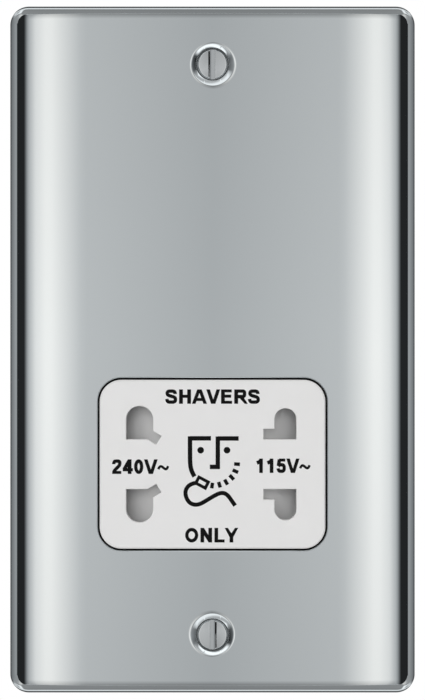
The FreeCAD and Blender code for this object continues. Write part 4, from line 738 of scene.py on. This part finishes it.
# Studio: a pale floor well below the object, a studio dome that the chrome mirrors, and soft lamps; the
# camera looks straight at the plate and sees a white background.
FLOOR_SIZE, FLOOR_LEVEL = 3.0, -0.35
floor_mesh = bmesh.new()
bmesh.ops.create_grid(floor_mesh, x_segments=1, y_segments=1, size=FLOOR_SIZE,
                      matrix=Matrix.Translation((0, 0, FLOOR_LEVEL)))
mesh = bpy.data.meshes.new("floor")
floor_mesh.to_mesh(mesh)
floor_mesh.free()
floor = bpy.data.objects.new("floor", mesh)
bpy.context.scene.collection.objects.link(floor)
floor.visible_glossy = False
floor_paint = bpy.data.materials.new("floor_paint")
floor_paint.use_nodes = True
tree = floor_paint.node_tree
paint = tree.nodes["Principled BSDF"]
paint.inputs["Base Color"].default_value = (0.9, 0.9, 0.9, 1)
paint.inputs["Roughness"].default_value = 0.9
ray = tree.nodes.new("ShaderNodeLightPath")
plain = tree.nodes.new("ShaderNodeEmission")
choose = tree.nodes.new("ShaderNodeMixShader")
tree.links.new(ray.outputs["Is Camera Ray"], choose.inputs["Fac"])
tree.links.new(paint.outputs["BSDF"], choose.inputs[1])
tree.links.new(plain.outputs["Emission"], choose.inputs[2])
tree.links.new(choose.outputs["Shader"], tree.nodes["Material Output"].inputs["Surface"])
dress(floor, floor_paint)

world = bpy.data.worlds.new("studio")
bpy.context.scene.world = world
world.use_nodes = True
tree = world.node_tree
background = tree.nodes["Background"]
place = tree.nodes.new("ShaderNodeTexCoord")
split = tree.nodes.new("ShaderNodeSeparateXYZ")
tree.links.new(place.outputs["Generated"], split.inputs["Vector"])


def world_math(operation, first, second=None):
    """One step of arithmetic on the direction that a ray leaves in."""
    node = tree.nodes.new("ShaderNodeMath")
    node.operation = operation
    for socket, source in zip(node.inputs, (first, second)):
        if isinstance(source, (int, float)):
            socket.default_value = source
        elif source is not None:
            tree.links.new(source, socket)
    return node.outputs["Value"]


forwards = world_math("MULTIPLY", split.outputs["Y"], -1)
aside = world_math("ABSOLUTE", split.outputs["X"])
upwards = world_math("ABSOLUTE", split.outputs["Z"])
off_axis = world_math("DIVIDE", world_math("ARCCOSINE", forwards), math.pi)
sidewards = world_math("DIVIDE", world_math("ARCTAN2", aside, forwards), math.pi)
upright = world_math("DIVIDE", world_math("ARCSINE", upwards), math.pi)
GREY_CARD = ((0, 0.47), (11, 0.605))
STRIP_LIGHT = ((25, 0.98), (28, 0.98), (32.8, 0.84))
SIDE_WALL = ((35.7, 0.54), (41, 0.48), (50, 0.35), (62, 0.13))
BLACK_FLAG = ((72, 0.02), (130, 0.02))
ROOM_BEHIND = ((150, 0.56), (180, 0.8))
SIDE_LIGHT = GREY_CARD + STRIP_LIGHT + SIDE_WALL + BLACK_FLAG + ROOM_BEHIND
FALL_OFF = ((0, 1.0), (4, 0.94), (10, 0.86), (35, 0.54), (48, 0.47), (90, 0.47))
OVERHEAD = ((0, 0.22), (46, 0.22), (50, 0.28), (53, 1.0), (56, 0.95), (59.5, 0.45), (62.5, 0.45), (65.5, 1.1),
            (72, 1.2), (77, 0.22), (107, 0.04), (122, 0.05), (140, 0.4), (158, 0.7), (180, 0.8))
WARMTH, OVERHEAD_FROM, OVERHEAD_STEEP = 0.075, (40 / 180, 50 / 180), (0.35, 0.7)


def studio_card(angle, stops, tint=0.0):
    """Light by an angle away from the camera's axis or the floor, the bright part warmer by a tint."""
    card = tree.nodes.new("ShaderNodeValToRGB")
    while len(card.color_ramp.elements) < len(stops):
        card.color_ramp.elements.new(0.5)
    for stop, (degrees, light) in zip(card.color_ramp.elements, stops):
        stop.position = degrees / 180
        stop.color = (light * (1 + tint * (light - 0.5)), light, light * (1 - tint * (light - 0.5)), 1)
    tree.links.new(angle, card.inputs["Fac"])
    return card.outputs["Color"]


def rising(value, low, high):
    """Smooth step from 0 to 1 between two values."""
    step = tree.nodes.new("ShaderNodeMapRange")
    step.interpolation_type = "SMOOTHSTEP"
    step.inputs["From Min"].default_value, step.inputs["From Max"].default_value = low, high
    tree.links.new(value, step.inputs["Value"])
    return step.outputs["Result"]


spread = world_math("SQRT", world_math("SUBTRACT", 1.0001, world_math("POWER", split.outputs["Y"], 2)))
steep = world_math("DIVIDE", upwards, spread)
lit = tree.nodes.new("ShaderNodeMix")
lit.data_type = "RGBA"
tree.links.new(world_math("MULTIPLY", rising(off_axis, *OVERHEAD_FROM), rising(steep, *OVERHEAD_STEEP)),
               lit.inputs["Factor"])
falling = tree.nodes.new("ShaderNodeMix")
falling.data_type = "RGBA"
falling.blend_type = "MULTIPLY"
falling.inputs["Factor"].default_value = 1.0
tree.links.new(studio_card(sidewards, SIDE_LIGHT, WARMTH), falling.inputs["A"])
tree.links.new(studio_card(upright, FALL_OFF), falling.inputs["B"])
tree.links.new(falling.outputs["Result"], lit.inputs["A"])
tree.links.new(studio_card(off_axis, OVERHEAD), lit.inputs["B"])
ray = tree.nodes.new("ShaderNodeLightPath")
seen = tree.nodes.new("ShaderNodeMix")
seen.data_type = "RGBA"
seen.inputs["B"].default_value = (1, 1, 1, 1)
tree.links.new(ray.outputs["Is Camera Ray"], seen.inputs["Factor"])
tree.links.new(lit.outputs["Result"], seen.inputs["A"])
tree.links.new(seen.outputs["Result"], background.inputs["Color"])

for name, place, size, power in (
    ("lamp_front", (-0.1, -2.0, 0.25), 0.9, 12),
    ("lamp_left", (-0.9, -1.2, 0.9), 1.0, 4),
    ("lamp_back", (0.3, 1.5, 0.8), 1.2, 22),
):
    lamp = bpy.data.lights.new(name, "AREA")
    lamp.size = size
    lamp.energy = power
    holder = bpy.data.objects.new(name, lamp)
    holder.location = place
    holder.rotation_euler = (-Vector(place)).to_track_quat("-Z", "Y").to_euler()
    holder.visible_glossy = False
    bpy.context.scene.collection.objects.link(holder)

VIEW_DISTANCE, VIEW_HEIGHT, VIEW_DROP = 0.8, 0.1487, 0.0001
camera = bpy.data.objects.new("camera", bpy.data.cameras.new("camera"))
bpy.context.scene.collection.objects.link(camera)
bpy.context.scene.camera = camera
camera.location = (0, -VIEW_DISTANCE - LIP_LEVEL * MM, -VIEW_DROP)
camera.rotation_euler = (math.pi / 2, 0, 0)
camera.data.lens = camera.data.sensor_width * VIEW_DISTANCE / VIEW_HEIGHT
bpy.context.scene.view_settings.view_transform = "Standard"
